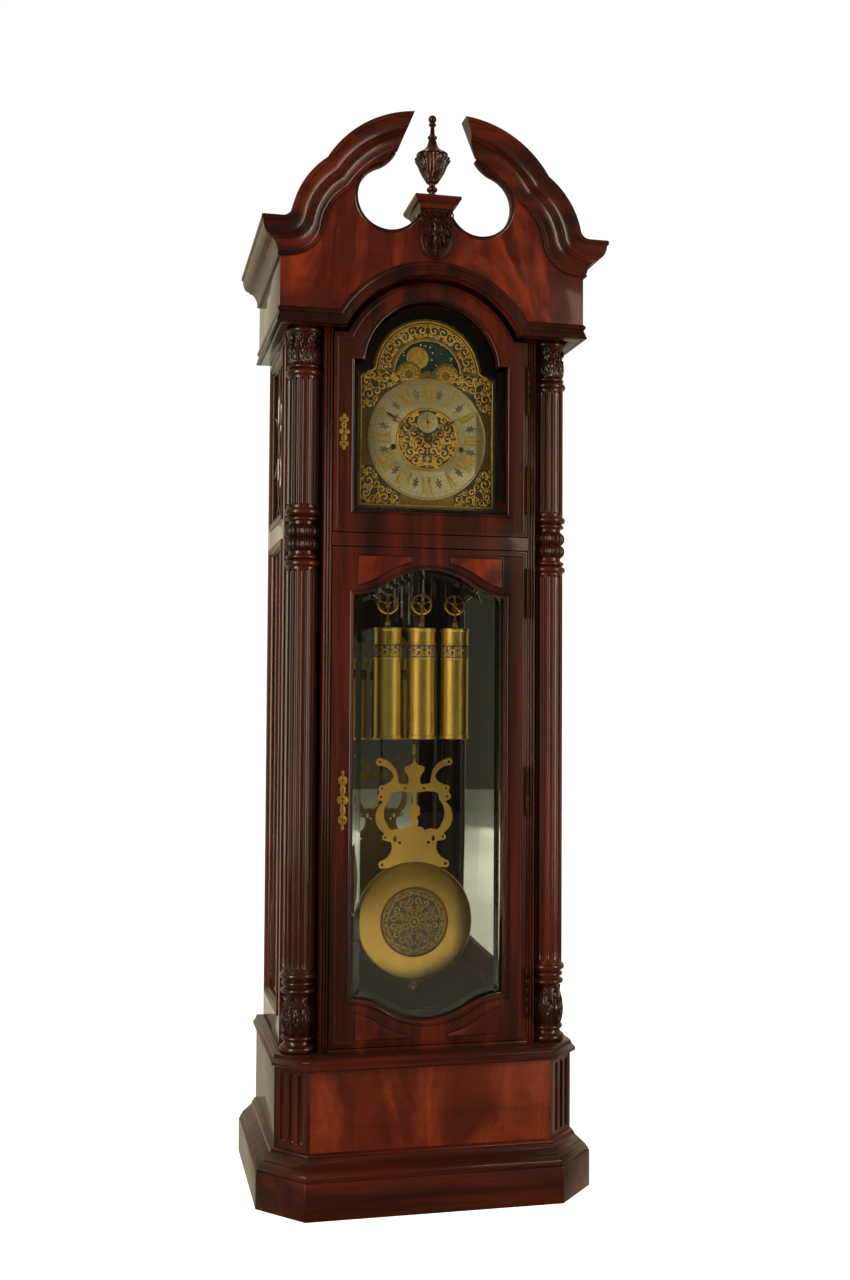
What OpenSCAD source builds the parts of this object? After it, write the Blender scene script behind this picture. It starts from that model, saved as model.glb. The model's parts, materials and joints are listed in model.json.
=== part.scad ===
// Longcase (grandfather) clock: cherry case with canted base, fluted corner
// columns, two glazed doors, swan-neck crown, three cable-driven weights and
// a lyre pendulum. +Z is up, the doors face -Y, all backs are flush with +Y.

/* [Plinth] */
// How far the plinth stands out past the case on each side
plinth_out = 50; // [40:0.5:70]
// Depth of the plinth from front to back
plinth_d = 439; // [400:1:540]
// Width of the plinth's canted corners, seen from the front
plinth_cant_w = 82; // [50:1:100]
// Depth of the plinth's canted corners
plinth_cant = 88; // [50:1:110]
// Height of the plinth board
plinth_h = 70; // [50:1:110]
// Height of the stepped moulding on the plinth
base_moulding_h = 40; // [24:1:60]

/* [Base] */
// How far the base box stands out past the case on each side
base_out = 14.5; // [8:0.5:30]
// Depth of the base box from the back
base_d = 396.5; // [385:0.5:460]
// Width of the base's canted corners, seen from the front
base_cant_w = 58.5; // [30:0.5:70]
// Depth of the base's canted corners
base_cant = 61.5; // [40:0.5:90]
// Height of the base box above its moulding
base_h = 152; // [110:1:240]
// Thickness of the base and plinth boards
base_board = 18; // [12:1:24]
// Height of the moulded board on top of the base
cap_h = 22; // [16:1:34]

/* [Case] */
// Outer width of the trunk and hood sides
case_w = 560; // [520:2:680]
// Depth of the side walls from the back
case_d = 281.5; // [240:0.5:300]
// Depth of the door faces from the back
front_d = 360.5; // [350:0.5:420]
// Thickness of the side walls
wall_t = 18; // [12:1:22]
// Thickness of the back panel
back_t = 6; // [4:1:12]
// Thickness of the mirror on the back panel
mirror_t = 4; // [3:0.5:6]
// Width of the corner recess that holds a column
recess_w = 68; // [64:1:90]
// Width of the reeded stile beside a door
stile_w = 15; // [10:1:30]
// Width of the side windows
side_window_w = 202; // [140:2:210]

/* [Doors] */
// Thickness of the door frames
door_t = 24; // [20:1:30]
// Gap round a door
door_gap = 2; // [1.5:0.5:4]
// Height of the lower door
lower_door_h = 959; // [800:1:1100]
// Height of the rail between the doors
mid_rail_h = 25; // [16:1:50]
// Height of the upper door up to the centre of its arch
upper_door_h = 313; // [300:1:380]
// Height of the square shoulders above the centre of the arch
shoulder_h = 76; // [60:1:80]
// How far the hood board's arch starts in from the opening's edge
arch_inset = 4; // [2:1:10]
// Gap between the upper door's arch and the hood board
arch_gap = 10; // [9:0.5:14]
// Width of the frame members beside the glass
door_stile = 43; // [34:1:50]
// Thickness of the door glass
glass_t = 4; // [3:0.5:5]
// Outer radius of the hinge barrels
hinge_r = 3.5; // [3:0.1:3.8]
// Radius of the hinge pins
hinge_pin_r = 1.5; // [1.2:0.1:1.8]
// Running clearance of pins and arbors, on the radius
running_gap = 0.05; // [0.02:0.01:0.1]

/* [Hood] */
// How far the hood's frieze box stands out past the case on each side
frieze_out = 24; // [20:0.5:60]
// Depth of the frieze box from the back
frieze_d = 380; // [375:0.5:440]
// Height of the frieze board left above the arch
frieze_over = 16; // [14:1:40]
// Thickness of the frieze boards
frieze_t = 18; // [14:1:18]
// Height of the moulding along the bottom of the frieze and round the arch
hood_moulding_h = 30; // [20:1:32]
// How far that moulding stands out
hood_moulding_out = 6; // [4:0.5:6]
// How far the crown moulding stands out
crown_out = 40; // [24:1:46]
// Height of the crown moulding on the sides
crown_h = 67; // [50:1:80]
// Radius of the round openings under the scrolls
scroll_hole_r = 63; // [50:1:66]
// Width of the gap between the scroll ends at the top
scroll_gap = 102; // [96:1:110]

/* [Columns] */
// Radius of the fluted shafts
shaft_r = 30.5; // [20:0.5:31]
// How far the rings stand out from the shafts
ring_out = 5; // [2:0.5:5.5]
// Number of flutes
flutes = 16; // [12:1:20]
// Space between a column's rings and the wall behind it
column_gap = 4; // [2:0.5:6]

/* [Dial] */
// Width of the dial plate
dial_w = 280; // [260:1:284]
// Depth of the dial's face from the back
dial_d = 314.5; // [308:0.5:318]
// Height of the dial's centre above the upper door's bottom edge
dial_up = 194; // [190:1:210]
// Radius of the chapter ring
chapter_r = 121; // [110:1:126]
// Radius of the pierced centre
dial_centre_r = 62; // [50:1:64]
// Radius of the seconds ring
seconds_r = 22; // [16:1:24]
// Height of the seconds arbor above the dial's centre
seconds_up = 34; // [32:1:38]
// Height of the moon disc's axis above the dial's centre
moon_up = 131; // [129:1:134]
// Radius of the dial's arch
dial_arch_r = 111; // [104:1:114]
// Radius of the moon opening
moon_opening_r = 68; // [60:1:72]

/* [Movement] */
// Radius of the winding and centre arbors
arbor_r = 3; // [2.5:0.1:3.5]
// Radius of the winding drums to the cable's centre
drum_r = 20; // [16:0.5:21]
// Reach of the movement's plates past the outer drums
plate_over = 23; // [18:0.5:30]

/* [Weights] */
// Gap between neighbouring weights
weight_gap = 11; // [8:0.5:20]
// Radius of a weight shell
weight_r = 29; // [20:0.5:31]
// Length of a weight shell
weight_len = 223; // [180:1:260]
// Height of the weights' bottoms above the trunk floor
weight_up = 594; // [580:1:640]
// Depth of the weights' axes from the back
weight_d = 271.5; // [268:0.5:276]
// Radius of the weight cables
cable_r = 0.8; // [0.6:0.1:1]

/* [Pendulum] */
// Radius of the pendulum disc
disc_r = 122; // [90:1:126]
// Thickness of the pendulum disc
disc_t = 20; // [14:1:24]
// Height of the centre of the disc above the floor of the case
disc_up = 222; // [160:1:260]
// Depth of the pendulum from the back
pendulum_d = 212; // [206:0.5:216]

/* [Hidden] */
$fn = 64;

plinth_w = case_w + 2 * plinth_out;
plinth_front_w = plinth_w - 2 * plinth_cant_w;
base_w = case_w + 2 * base_out;
base_front_w = base_w - 2 * base_cant_w;
frieze_w = case_w + 2 * frieze_out;
ring_r = shaft_r + ring_out;
column_inset = shaft_r + 0.5;
column_forward = ring_r + column_gap;
weight_pitch = 2 * weight_r + weight_gap;
plate_w = 2 * (weight_pitch + drum_r + plate_over);

wood = [0.30, 0.10, 0.05];
veneer = [0.45, 0.15, 0.07];
brass = [0.85, 0.65, 0.25];
steel = [0.65, 0.66, 0.68];
black = [0.06, 0.06, 0.06];
clear = [0.75, 0.85, 0.85, 0.35];

back_y = plinth_d / 2;
wall_y = back_y - case_d;
face_y = back_y - front_d;
frieze_y = back_y - frieze_d;
inner_back_y = back_y - back_t;
base_z = plinth_h + base_moulding_h;
cap_z = base_z + base_h;
floor_z = cap_z + cap_h;
recess_x = case_w / 2 - recess_w;
opening_x = recess_x - stile_w;
door_x = opening_x - door_gap;
sill_h = 7;
lower_z = floor_z + sill_h + door_gap;
mid_rail_z = lower_z + lower_door_h + door_gap;
upper_z = mid_rail_z + mid_rail_h + door_gap;
arch_z = upper_z + upper_door_h;
shoulder_z = arch_z + shoulder_h;
frieze_z = shoulder_z + 8;
hood_arch_r = opening_x - arch_inset;
crown_z = arch_z + hood_arch_r + frieze_over;
column_top_z = frieze_z + 12;
column_x = case_w / 2 - column_inset;
column_y = wall_y - column_forward;
door_arch_r = hood_arch_r - arch_gap;
dial_z = upper_z + dial_up;
dial_y = back_y - dial_d;
moon_z = dial_z + moon_up;
arm_z = dial_z + seconds_up + 31;
wind_side_z = dial_z - 18;
wind_mid_z = dial_z - 39;
hinge_x = (door_x + opening_x) / 2;
hinge_y = face_y - hinge_r - 0.3;
weight_y = back_y - weight_d;
weight_z = floor_z + weight_up;
weight_top = weight_z + weight_len;
pulley_z = weight_top + 48;
pendulum_y = back_y - pendulum_d;
disc_z = floor_z + disc_up;
pendulum_len = arm_z - disc_z;
board_z = upper_z + 59;
board_t = 18;
front_plate_y = dial_y + 23;
back_plate_y = front_plate_y + 58;
plate_t = 2.5;
weight_xs = [-weight_pitch, 0, weight_pitch];
weight_zs = [wind_side_z, wind_mid_z, wind_side_z];

// ---- helpers -------------------------------------------------------------

// Points of an arc after p up to q; its middle stands s to the right of p-q.
function bow(p, q, s, n = 8) =
    let(v = q - p, c = norm(v), t = v / c, r = (c * c / 4 + s * s) / (2 * abs(s)),
        k = sign(s), m = [t.y, -t.x] * k, a = 2 * atan(2 * abs(s) / c), o = (p + q) / 2 - m * (r - abs(s)))
    [for (i = [1:n]) let(b = -a + 2 * a * i / n) o + r * (cos(b) * m + sin(b) * t)];

// Points of a circle's arc from angle a to angle b.
function arc(o, r, a, b, n = 16) = [for (i = [0:n]) let(w = a + (b - a) * i / n) o + r * [cos(w), sin(w)]];

// A closed outline from the points of its right half, listed bottom to top.
function both_halves(points) = let(n = len(points))
    concat(points, [for (i = [n - 1:-1:0]) [-points[i].x, points[i].y]]);

// A point between p and q.
function between(p, q, s) = p + (q - p) * s;

// Plan outline of a box with canted front corners, back left to back right.
function canted(half_w, front_y, half_front, cant) =
    [[-half_w, back_y], [-half_w, front_y + cant], [-half_front, front_y],
     [half_front, front_y], [half_w, front_y + cant], [half_w, back_y]];

plinth_outline = canted(plinth_w / 2, back_y - plinth_d, plinth_front_w / 2, plinth_cant);
base_outline = canted(base_w / 2, back_y - base_d, base_front_w / 2, base_cant);
cap_out = 7;
cap_outline = canted(base_w / 2 + cap_out, back_y - base_d - 11, base_front_w / 2 + 9, base_cant);

function outline_between(a, b, s) = [for (i = [0:5]) between(a[i], b[i], s)];

// Solid through a list of sections that each hold the same number of points.
module loft(sections) {
    n = len(sections[0]);
    m = len(sections);
    polyhedron(points = [for (s = sections) each s],
        faces = concat([[for (i = [0:n - 1]) i]],
            [[for (i = [n - 1:-1:0]) (m - 1) * n + i]],
            [for (k = [0:m - 2], i = [0:n - 1]) let(j = (i + 1) % n)
                [k * n + i, (k + 1) * n + i, (k + 1) * n + j, k * n + j]]));
}

// The same along a path that runs from left to right, with each section
// listed from its inner lower corner outward and up.
module sweep(sections) {
    loft([for (i = [len(sections) - 1:-1:0]) sections[i]]);
}

// A 2D shape in X and Z made into a plate from y to y + t.
module upright(y, t) {
    translate([0, y + t, 0]) rotate([90, 0, 0]) linear_extrude(t) children();
}

// A shaft along Y from y0 to y1.
module shaft(x, z, r, y0, y1) {
    translate([x, y1, z]) rotate([90, 0, 0]) cylinder(h = y1 - y0, r = r);
}

module box(low, high) {
    translate(low) cube(high - low);
}

module both_sides() {
    children();
    mirror([1, 0, 0]) children();
}

// ---- plinth and base -------------------------------------------------------

module plinth() {
    color(wood) difference() {
        linear_extrude(plinth_h) polygon(plinth_outline);
        translate([0, 0, -1]) linear_extrude(plinth_h + 2)
            polygon(canted(plinth_w / 2 - base_board, back_y - plinth_d + base_board,
                plinth_front_w / 2 - base_board / 2, plinth_cant));
    }
}

// Outward share (0 at the base, 1 at the plinth) and height of each moulding edge.
base_profile = let(h = base_moulding_h)
    concat([[-0.45, 0], [0.86, 0], [0.86, 0.10 * h]],
        bow([0.80, 0.12 * h], [0.62, 0.34 * h], 0.04, 5),
        [[0.62, 0.40 * h], [0.52, 0.42 * h]],
        bow([0.50, 0.44 * h], [0.20, 0.78 * h], -0.06, 6),
        [[0.20, 0.84 * h], [0.12, 0.86 * h], [0.10, h], [-0.45, h]]);

module base_moulding() {
    color(wood) translate([0, 0, plinth_h])
        sweep([for (i = [0:5]) [for (p = base_profile)
            let(q = between(base_outline[i], plinth_outline[i], p[0])) [q.x, q.y, p[1]]]]);
}

// A capsule-shaped flute cut, standing on the canted corner.
module cant_flute(share) {
    a = base_outline[3];
    b = base_outline[4];
    c = between(a, b, share);
    for (z = [base_z + 16, cap_z - 16]) translate([c.x, c.y, z]) sphere(r = 6);
    translate([c.x, c.y, base_z + 16]) cylinder(h = base_h - 32, r = 6);
}

base_panel_t = 3;
base_panel_margin = 10;

module base_box() {
    color(wood) box([-base_w / 2 + base_board, inner_back_y, base_z],
        [base_w / 2 - base_board, back_y, cap_z]);
    color(wood) difference() {
        translate([0, 0, base_z]) linear_extrude(base_h) polygon(base_outline);
        translate([0, 0, base_z - 1]) linear_extrude(base_h + 2)
            polygon(canted(base_w / 2 - base_board, back_y - base_d + base_board,
                base_front_w / 2 - base_board / 2, base_cant));
        both_sides() for (share = [0.25, 0.5, 0.75]) cant_flute(share);
        box([-base_front_w / 2 + base_panel_margin, back_y - base_d - 1, base_z + base_panel_margin],
            [base_front_w / 2 - base_panel_margin, back_y - base_d + base_panel_t,
                cap_z - base_panel_margin]);
    }
}

module base_front_panel() {
    inset = base_panel_margin + 0.3;
    color(veneer) box([-base_front_w / 2 + inset, back_y - base_d, base_z + inset],
        [base_front_w / 2 - inset, back_y - base_d + base_panel_t, cap_z - inset]);
}

cap_profile = concat([[0.45, 0]], bow([0.55, 1], [1, 4], 0.1, 3), [[1, 10]],
    bow([0.8, 12], [0.2, 19], -0.08, 5), [[0.2, cap_h]]);

module base_cap() {
    color(wood) translate([0, 0, cap_z])
        loft([for (p = cap_profile) [for (q = outline_between(base_outline, cap_outline, p[0]))
            [q.x, q.y, p[1]]]]);
}

// ---- case --------------------------------------------------------------------

lower_window = [floor_z + 66, mid_rail_z + 8];
upper_window = [upper_z + 45, shoulder_z - 20];
window_y = (wall_y + inner_back_y) / 2 - side_window_w / 2;

module side_wall(side) {
    x0 = side < 0 ? -case_w / 2 : case_w / 2 - wall_t;
    color(wood) difference() {
        box([x0, wall_y, floor_z], [x0 + wall_t, inner_back_y, crown_z]);
        for (w = [lower_window, upper_window]) {
            box([x0 - 1, window_y, w[0]], [x0 + wall_t + 1, window_y + side_window_w, w[1]]);
        }
    }
}

module side_wall_left() {
    side_wall(-1);
}

module side_wall_right() {
    side_wall(1);
}

pane_t = 3;
pane_x = case_w / 2 - wall_t / 2;

module side_glass() {
    color(clear) both_sides() for (w = [lower_window, upper_window])
        box([pane_x - pane_t, window_y + 0.3, w[0] + 0.3],
            [pane_x, window_y + side_window_w - 0.3, w[1] - 0.3]);
}

// Pierced lattice of crossing arcs that stands in front of the upper panes.
module side_fretwork() {
    h = upper_window[1] - upper_window[0];
    w = side_window_w;
    border = 9;
    color(wood) both_sides() translate([pane_x, window_y, upper_window[0]])
        rotate([90, 0, 90]) linear_extrude(5) {
            difference() {
                translate([0.3, 0.3]) square([w - 0.6, h - 0.6]);
                translate([border, border]) square([w - 2 * border, h - 2 * border]);
            }
            intersection() {
                translate([border - 1, border - 1]) square([w - 2 * border + 2, h - 2 * border + 2]);
                for (x = [0, w], z = [0.32 * h, 0.68 * h]) translate([x, z]) difference() {
                    circle(r = 0.62 * w);
                    circle(r = 0.62 * w - 6);
                }
            }
        }
}

module back_panel() {
    color(wood) box([-case_w / 2, inner_back_y, floor_z], [case_w / 2, back_y, crown_z]);
}

module back_mirror() {
    color(steel) box([-case_w / 2 + wall_t + 1, inner_back_y - mirror_t, floor_z + 1],
        [case_w / 2 - wall_t - 1, inner_back_y, board_z - 60]);
}

// Corner posts with reeds beside the doors, and the rails between them.
module front_frame() {
    reed = stile_w / 4;
    color(wood) {
        both_sides() {
            difference() {
                box([opening_x, face_y + reed, floor_z], [recess_x, wall_y, column_top_z]);
                translate([0, 0, floor_z - 1]) for (k = [1, 3])
                    translate([opening_x + k * reed, face_y + reed, 0])
                        cylinder(h = column_top_z - floor_z + 2, r = reed / 2);
            }
            for (k = [0.5, 2, 3.5]) translate([opening_x + k * reed, face_y + reed, floor_z])
                cylinder(h = column_top_z - floor_z, r = reed / 2);
            box([recess_x, wall_y, floor_z], [case_w / 2 - wall_t, wall_y + 12, column_top_z]);
        }
        box([-opening_x, face_y, floor_z], [opening_x, face_y + door_t, floor_z + sill_h]);
        box([-opening_x, face_y, mid_rail_z], [opening_x, face_y + door_t, mid_rail_z + mid_rail_h]);
    }
}

// ---- columns -----------------------------------------------------------------

// A ring of radius ring_r between heights a and b.
function torus(a, b) = concat([[ring_r - 2.5, a]], bow([ring_r - 2.5, a], [ring_r - 2.5, b], 2.5, 6));

lower_shaft = [floor_z + 152, mid_rail_z - 41];
upper_shaft = [mid_rail_z + 72, shoulder_z - 86];

foot_profile = concat([[0, floor_z]], torus(floor_z, floor_z + 14),
    [[shaft_r - 2, floor_z + 17], [shaft_r - 3, floor_z + 23]],
    bow([shaft_r - 2, floor_z + 25], [shaft_r - 2, floor_z + 102], 4, 10),
    [[shaft_r - 4, floor_z + 108], [shaft_r, floor_z + 118], [shaft_r, floor_z + 126]],
    torus(floor_z + 134, lower_shaft[0] - 2), [[0, lower_shaft[0] - 2]]);

collar_profile = let(a = lower_shaft[1], b = upper_shaft[0]) concat([[0, a]], torus(a, a + 13),
    [[shaft_r - 2, a + 17], [shaft_r - 2, a + 34]],
    bow([shaft_r, a + 38], [shaft_r, a + 58], 4.5, 6), [[shaft_r - 2, a + 60]],
    bow([shaft_r, a + 62], [shaft_r, a + 80], 4.5, 6),
    [[shaft_r - 3, a + 84], [shaft_r - 3, b - 17]], torus(b - 14, b), [[0, b]]);

// The top block stops under the frieze; a narrower neck goes on up behind it.
neck_r = column_inset - 2;
capital_profile = let(a = upper_shaft[1], b = frieze_z) concat([[0, a]], torus(a, a + 13),
    [[shaft_r - 3, a + 17], [shaft_r - 3, a + 22]],
    bow([shaft_r - 2, a + 26], [shaft_r - 4, a + 60], 4, 8),
    bow([shaft_r - 4, a + 60], [ring_r - 1, b - 9], -3, 6),
    [[ring_r, b - 8], [ring_r, b], [neck_r, b], [neck_r, column_top_z], [0, column_top_z]]);

module fluted_shaft(span) {
    translate([0, 0, span[0]]) linear_extrude(span[1] - span[0]) difference() {
        circle(r = shaft_r);
        for (k = [0:flutes - 1]) rotate(360 * k / flutes)
            translate([shaft_r + 1, 0]) circle(r = 0.13 * shaft_r);
    }
}

module column(side) {
    color(wood) translate([side * column_x, column_y, 0]) {
        rotate_extrude() polygon(foot_profile);
        translate([0, 0, -2]) fluted_shaft([lower_shaft[0], lower_shaft[1] + 2]);
        rotate_extrude() polygon(collar_profile);
        fluted_shaft([upper_shaft[0], upper_shaft[1]]);
        rotate_extrude() polygon(capital_profile);
    }
}

module column_left() {
    column(-1);
}

module column_right() {
    column(1);
}

// ---- hood and crown ------------------------------------------------------------

half_crown = frieze_w / 2 + crown_out;
hole_x = scroll_gap / 2 + 40.5;
hole_z = crown_z + 131;
stretch = half_crown / 344;

// Upper edge of the right-hand scroll, from its free end to the corner.
scroll_top = let(a = [scroll_gap / 2, crown_z + 290], v = [220 * stretch, crown_z + 185],
        c = [287 * stretch, crown_z + 79], d = [304 * stretch, crown_z + crown_h])
    concat([a], bow(a, v, -24, 10), bow(v, c, -12, 8), bow(c, d, 3, 3), [[half_crown, crown_z + crown_h]]);

// Lower edge of the same scroll, point for point.
scroll_bottom = let(a = [scroll_gap / 2 + 27, crown_z + 222], v = [170 * stretch, crown_z + 142],
        c = [219 * stretch, crown_z + 75], d = [frieze_w / 2 - 24, crown_z + 3])
    concat([a], bow(a, v, -9, 10), bow(v, c, -8, 8), bow(c, d, 17, 3), [[frieze_w / 2, crown_z]]);

// Projection (0 at the frieze, 1 at the edge) and height share of the crown.
crown_profile = concat([[0, 0], [0.15, 0], [0.15, 0.07]],
    bow([0.20, 0.10], [0.58, 0.44], -0.07, 6), [[0.66, 0.46], [0.66, 0.52]],
    bow([0.70, 0.54], [0.95, 0.80], 0.06, 6), [[1, 0.82], [1, 1], [0, 1]]);

// Right-hand scroll and, round the mitred corner, the return along the side.
module crown_half() {
    n = len(scroll_top);
    function edge(y, p) = [frieze_w / 2 + p[0] * crown_out, y, crown_z + p[1] * crown_h];
    scroll = [for (i = [0:n - 2]) [for (p = crown_profile)
        let(q = between(scroll_bottom[i], scroll_top[i], p[1])) [q.x, frieze_y - p[0] * crown_out, q.y]]];
    corner = [for (p = crown_profile) edge(frieze_y - p[0] * crown_out, p)];
    end = [for (p = crown_profile) edge(back_y, p)];
    color(wood) sweep(concat(scroll, [corner, end]));
}

module crown_right() {
    crown_half();
}

module crown_left() {
    mirror([1, 0, 0]) crown_half();
}

// Front board: frieze, swan neck above it, arch below and two round openings.
module frieze_board() {
    inner = [for (i = [len(scroll_bottom) - 1:-1:0]) between(scroll_bottom[i], scroll_top[i], 0.3)];
    right = concat([[frieze_w / 2, frieze_z], [frieze_w / 2, crown_z + 20]],
        [for (p = inner) [min(p.x, frieze_w / 2 - 1), p.y]]);
    color(veneer) upright(frieze_y, frieze_t) difference() {
        polygon(both_halves(right));
        translate([0, arch_z]) circle(r = hood_arch_r, $fn = 128);
        for (s = [-1, 1]) translate([s * hole_x, hole_z]) circle(r = scroll_hole_r, $fn = 96);
        translate([-hole_x + 4, crown_z + 112]) square([2 * hole_x - 8, 300]);
    }
}

module frieze_sides() {
    color(wood) both_sides() {
        box([case_w / 2, frieze_y + frieze_t, frieze_z], [frieze_w / 2, back_y, crown_z + crown_h - 6]);
        box([recess_x, frieze_y + frieze_t, column_top_z], [case_w / 2, wall_y, column_top_z + 16]);
    }
}

// Width of the moulding round the arch, and its profile there and along the frieze's bottom.
arch_band = 27;
hood_profile = concat([[0, 0], [1, 0], [1, 0.35]], bow([0.9, 0.40], [0.35, 0.75], -0.06, 4),
    [[0.35, 0.9], [0, 1]]);

module hood_moulding() {
    h = hood_moulding_h;
    r1 = hood_arch_r;
    r2 = hood_arch_r + arch_band;
    rise = frieze_z - arch_z;
    a1 = asin(rise / r1);
    a2 = asin((rise + h) / r2);
    n = 24;
    inner = arc([0, arch_z], r1, 180 - a1, a1, n);
    outer = arc([0, arch_z], r2, 180 - a2, a2, n);
    function side(s, y) = [for (p = hood_profile)
        [s * (frieze_w / 2 + p[0] * hood_moulding_out), y == 0 ? frieze_y - p[0] * hood_moulding_out : y,
         frieze_z + p[1] * h]];
    color(wood) sweep(concat([side(-1, back_y), side(-1, 0)],
        [for (i = [0:n]) [for (p = hood_profile) let(q = between(inner[i], outer[i], p[1]))
            [q.x, frieze_y - p[0] * hood_moulding_out, q.y]]],
        [side(1, 0), side(1, back_y)]));
}

module hood_roof() {
    color(wood) box([-case_w / 2 + wall_t, frieze_y + frieze_t, crown_z - 16],
        [case_w / 2 - wall_t, inner_back_y, crown_z]);
}

cap_half = 46;
cap_depth = 120;
key_r = 32;
key_z = arch_z + hood_arch_r + arch_band + 1;
cap_front_y = frieze_y - 26;
finial_z = crown_z + 135;

// Corbel on the front of the board, with the block behind it.
module keystone() {
    color(wood) {
        upright(frieze_y - 16, 16) {
            translate([-key_r, key_z + key_r]) square([2 * key_r, crown_z + 112 - key_z - key_r]);
            translate([0, key_z + key_r]) circle(r = key_r);
        }
        box([-27, frieze_y + frieze_t, crown_z + 60], [27, cap_front_y + cap_depth - 20, crown_z + 112]);
    }
}

module keystone_cap() {
    z0 = crown_z + 112;
    steps = [[12, 0], [12, 4], [7, 8], [4, 13], [4, 15], [0, 17], [0, finial_z - z0]];
    color(wood) loft([for (s = steps) [[-cap_half + s[0], cap_front_y + s[0], z0 + s[1]],
        [cap_half - s[0], cap_front_y + s[0], z0 + s[1]],
        [cap_half - s[0], cap_front_y + cap_depth - s[0], z0 + s[1]],
        [-cap_half + s[0], cap_front_y + cap_depth - s[0], z0 + s[1]]]]);
}

finial_profile = concat([[0, 0], [16, 0], [16, 6]], bow([16, 6], [7, 30], -3, 5),
    bow([7, 34], [7, 42], 3, 4), bow([13, 50], [33, 88], 4, 8), [[36.5, 90], [36.5, 96], [30, 98], [30, 102]],
    bow([32, 104], [32, 114], 3, 5), bow([29, 117], [9, 130], -3, 6), [[5, 146], [5, 156], [8, 160],
    [8, 163], [4, 165], [4, 168], [0, 168]]);

module finial() {
    color(wood) translate([0, cap_front_y + cap_depth / 2, finial_z]) {
        rotate_extrude() polygon(finial_profile);
        translate([0, 0, 171.7]) sphere(r = 8.3);
    }
}

// ---- doors ---------------------------------------------------------------------

// Arched outline of the upper door grown or shrunk to a half width and radius.
module arched(half_w, low, shoulder, r, centre_z) {
    translate([-half_w, low]) square([2 * half_w, shoulder - low]);
    translate([0, centre_z]) circle(r = r, $fn = 128);
}

sight_x = door_x - door_stile - 9;
sight_z = arch_z + 12;
sight_r = door_arch_r - 60;

module upper_door_frame() {
    color(wood) difference() {
        upright(face_y, door_t) arched(door_x, upper_z, shoulder_z, door_arch_r, arch_z);
        upright(face_y - 1, 9) arched(sight_x + 13, upper_z + 37, sight_z + 27, sight_r + 13, sight_z);
        upright(face_y, door_t + 1) arched(sight_x, upper_z + 54, sight_z + 12, sight_r, sight_z);
        upright(face_y + door_t - glass_t, glass_t + 1)
            arched(sight_x + 8, upper_z + 46, sight_z + 20, sight_r + 8, sight_z);
    }
}

module upper_door_glass() {
    color(clear) upright(face_y + door_t - glass_t, glass_t)
        arched(sight_x + 7.7, upper_z + 46.3, sight_z + 19.7, sight_r + 7.7, sight_z);
}

// Right half of the lower sight opening: ogee head and foot.
lower_sight_x = door_x - door_stile;
head_z = lower_z + lower_door_h - 92;
foot_z = lower_z + 90;
head_x = 0.56 * lower_sight_x;
foot_x = 0.53 * lower_sight_x;
ogee_head = concat([[lower_sight_x, head_z]], bow([lower_sight_x, head_z], [head_x, head_z + 23], -4.6, 6),
    bow([head_x, head_z + 23], [0, head_z + 52], 7, 8));
ogee_foot = concat([[0, foot_z - 47]], bow([0, foot_z - 47], [foot_x, foot_z - 23], 6, 8),
    bow([foot_x, foot_z - 23], [lower_sight_x, foot_z], -5, 6));

module mirrored_2d() {
    children();
    mirror([1, 0]) children();
}

inset_t = 2.5;
inset_x = 0.62 * lower_sight_x;

// Four shaped inset panels, grown by g all round at their straight edges.
module inset_outlines(g) {
    head = concat([[36 - g, head_z + 79 + g], [lower_sight_x - 5 + g, head_z + 79 + g],
        [lower_sight_x - 5 + g, head_z + 14 - g]],
        bow([lower_sight_x - 5 + g, head_z + 14 - g], [inset_x, head_z + 38 - g], -3, 6),
        bow([inset_x, head_z + 38 - g], [36 - g, head_z + 62 - g], 3, 6));
    foot = concat([[lower_sight_x - 5 + g, foot_z - 79 - g], [36 - g, foot_z - 79 - g],
        [36 - g, foot_z - 68 + g]],
        bow([36 - g, foot_z - 68 + g], [inset_x, foot_z - 44 + g], 3, 6),
        bow([inset_x, foot_z - 44 + g], [lower_sight_x - 5 + g, foot_z - 20 + g], -3, 6));
    mirrored_2d() polygon(head);
    mirrored_2d() polygon(foot);
}

module lower_door_frame() {
    color(wood) difference() {
        upright(face_y, door_t) translate([-door_x, lower_z]) square([2 * door_x, lower_door_h]);
        upright(face_y - 1, door_t + 2) mirrored_2d() polygon(concat(ogee_foot, ogee_head));
        upright(face_y + door_t - glass_t, glass_t + 1) translate([-lower_sight_x - 9, foot_z - 56])
            square([2 * lower_sight_x + 18, head_z - foot_z + 117]);
        upright(face_y - 1, 1 + inset_t) inset_outlines(0.3);
    }
}

module lower_door_glass() {
    color(clear) upright(face_y + door_t - glass_t, glass_t) translate([-lower_sight_x - 8.7, foot_z - 55.7])
        square([2 * lower_sight_x + 17.4, head_z - foot_z + 116.4]);
}

module lower_door_panels() {
    color(veneer) upright(face_y, inset_t) inset_outlines(0);
}

module escutcheon(z0, z1, x) {
    r = 9;
    color(brass) upright(face_y - 1.5, 1.5) difference() {
        union() {
            translate([x - 6, z0 + r]) square([12, z1 - z0 - 2 * r]);
            for (z = [z0 + r, (z0 + z1) / 2, z1 - r]) translate([x, z]) circle(r = r);
        }
        translate([x, (z0 + z1) / 2 + 3]) circle(r = 2.5);
        translate([x - 1, (z0 + z1) / 2 - 6]) square([2, 8]);
    }
}

module upper_escutcheon() {
    escutcheon(dial_z - 36, dial_z + 36, -door_x + 20);
}

module lower_escutcheon() {
    escutcheon(lower_z + 414, lower_z + 528, -door_x + 23);
}

// ---- hinges ----------------------------------------------------------------------

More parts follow.
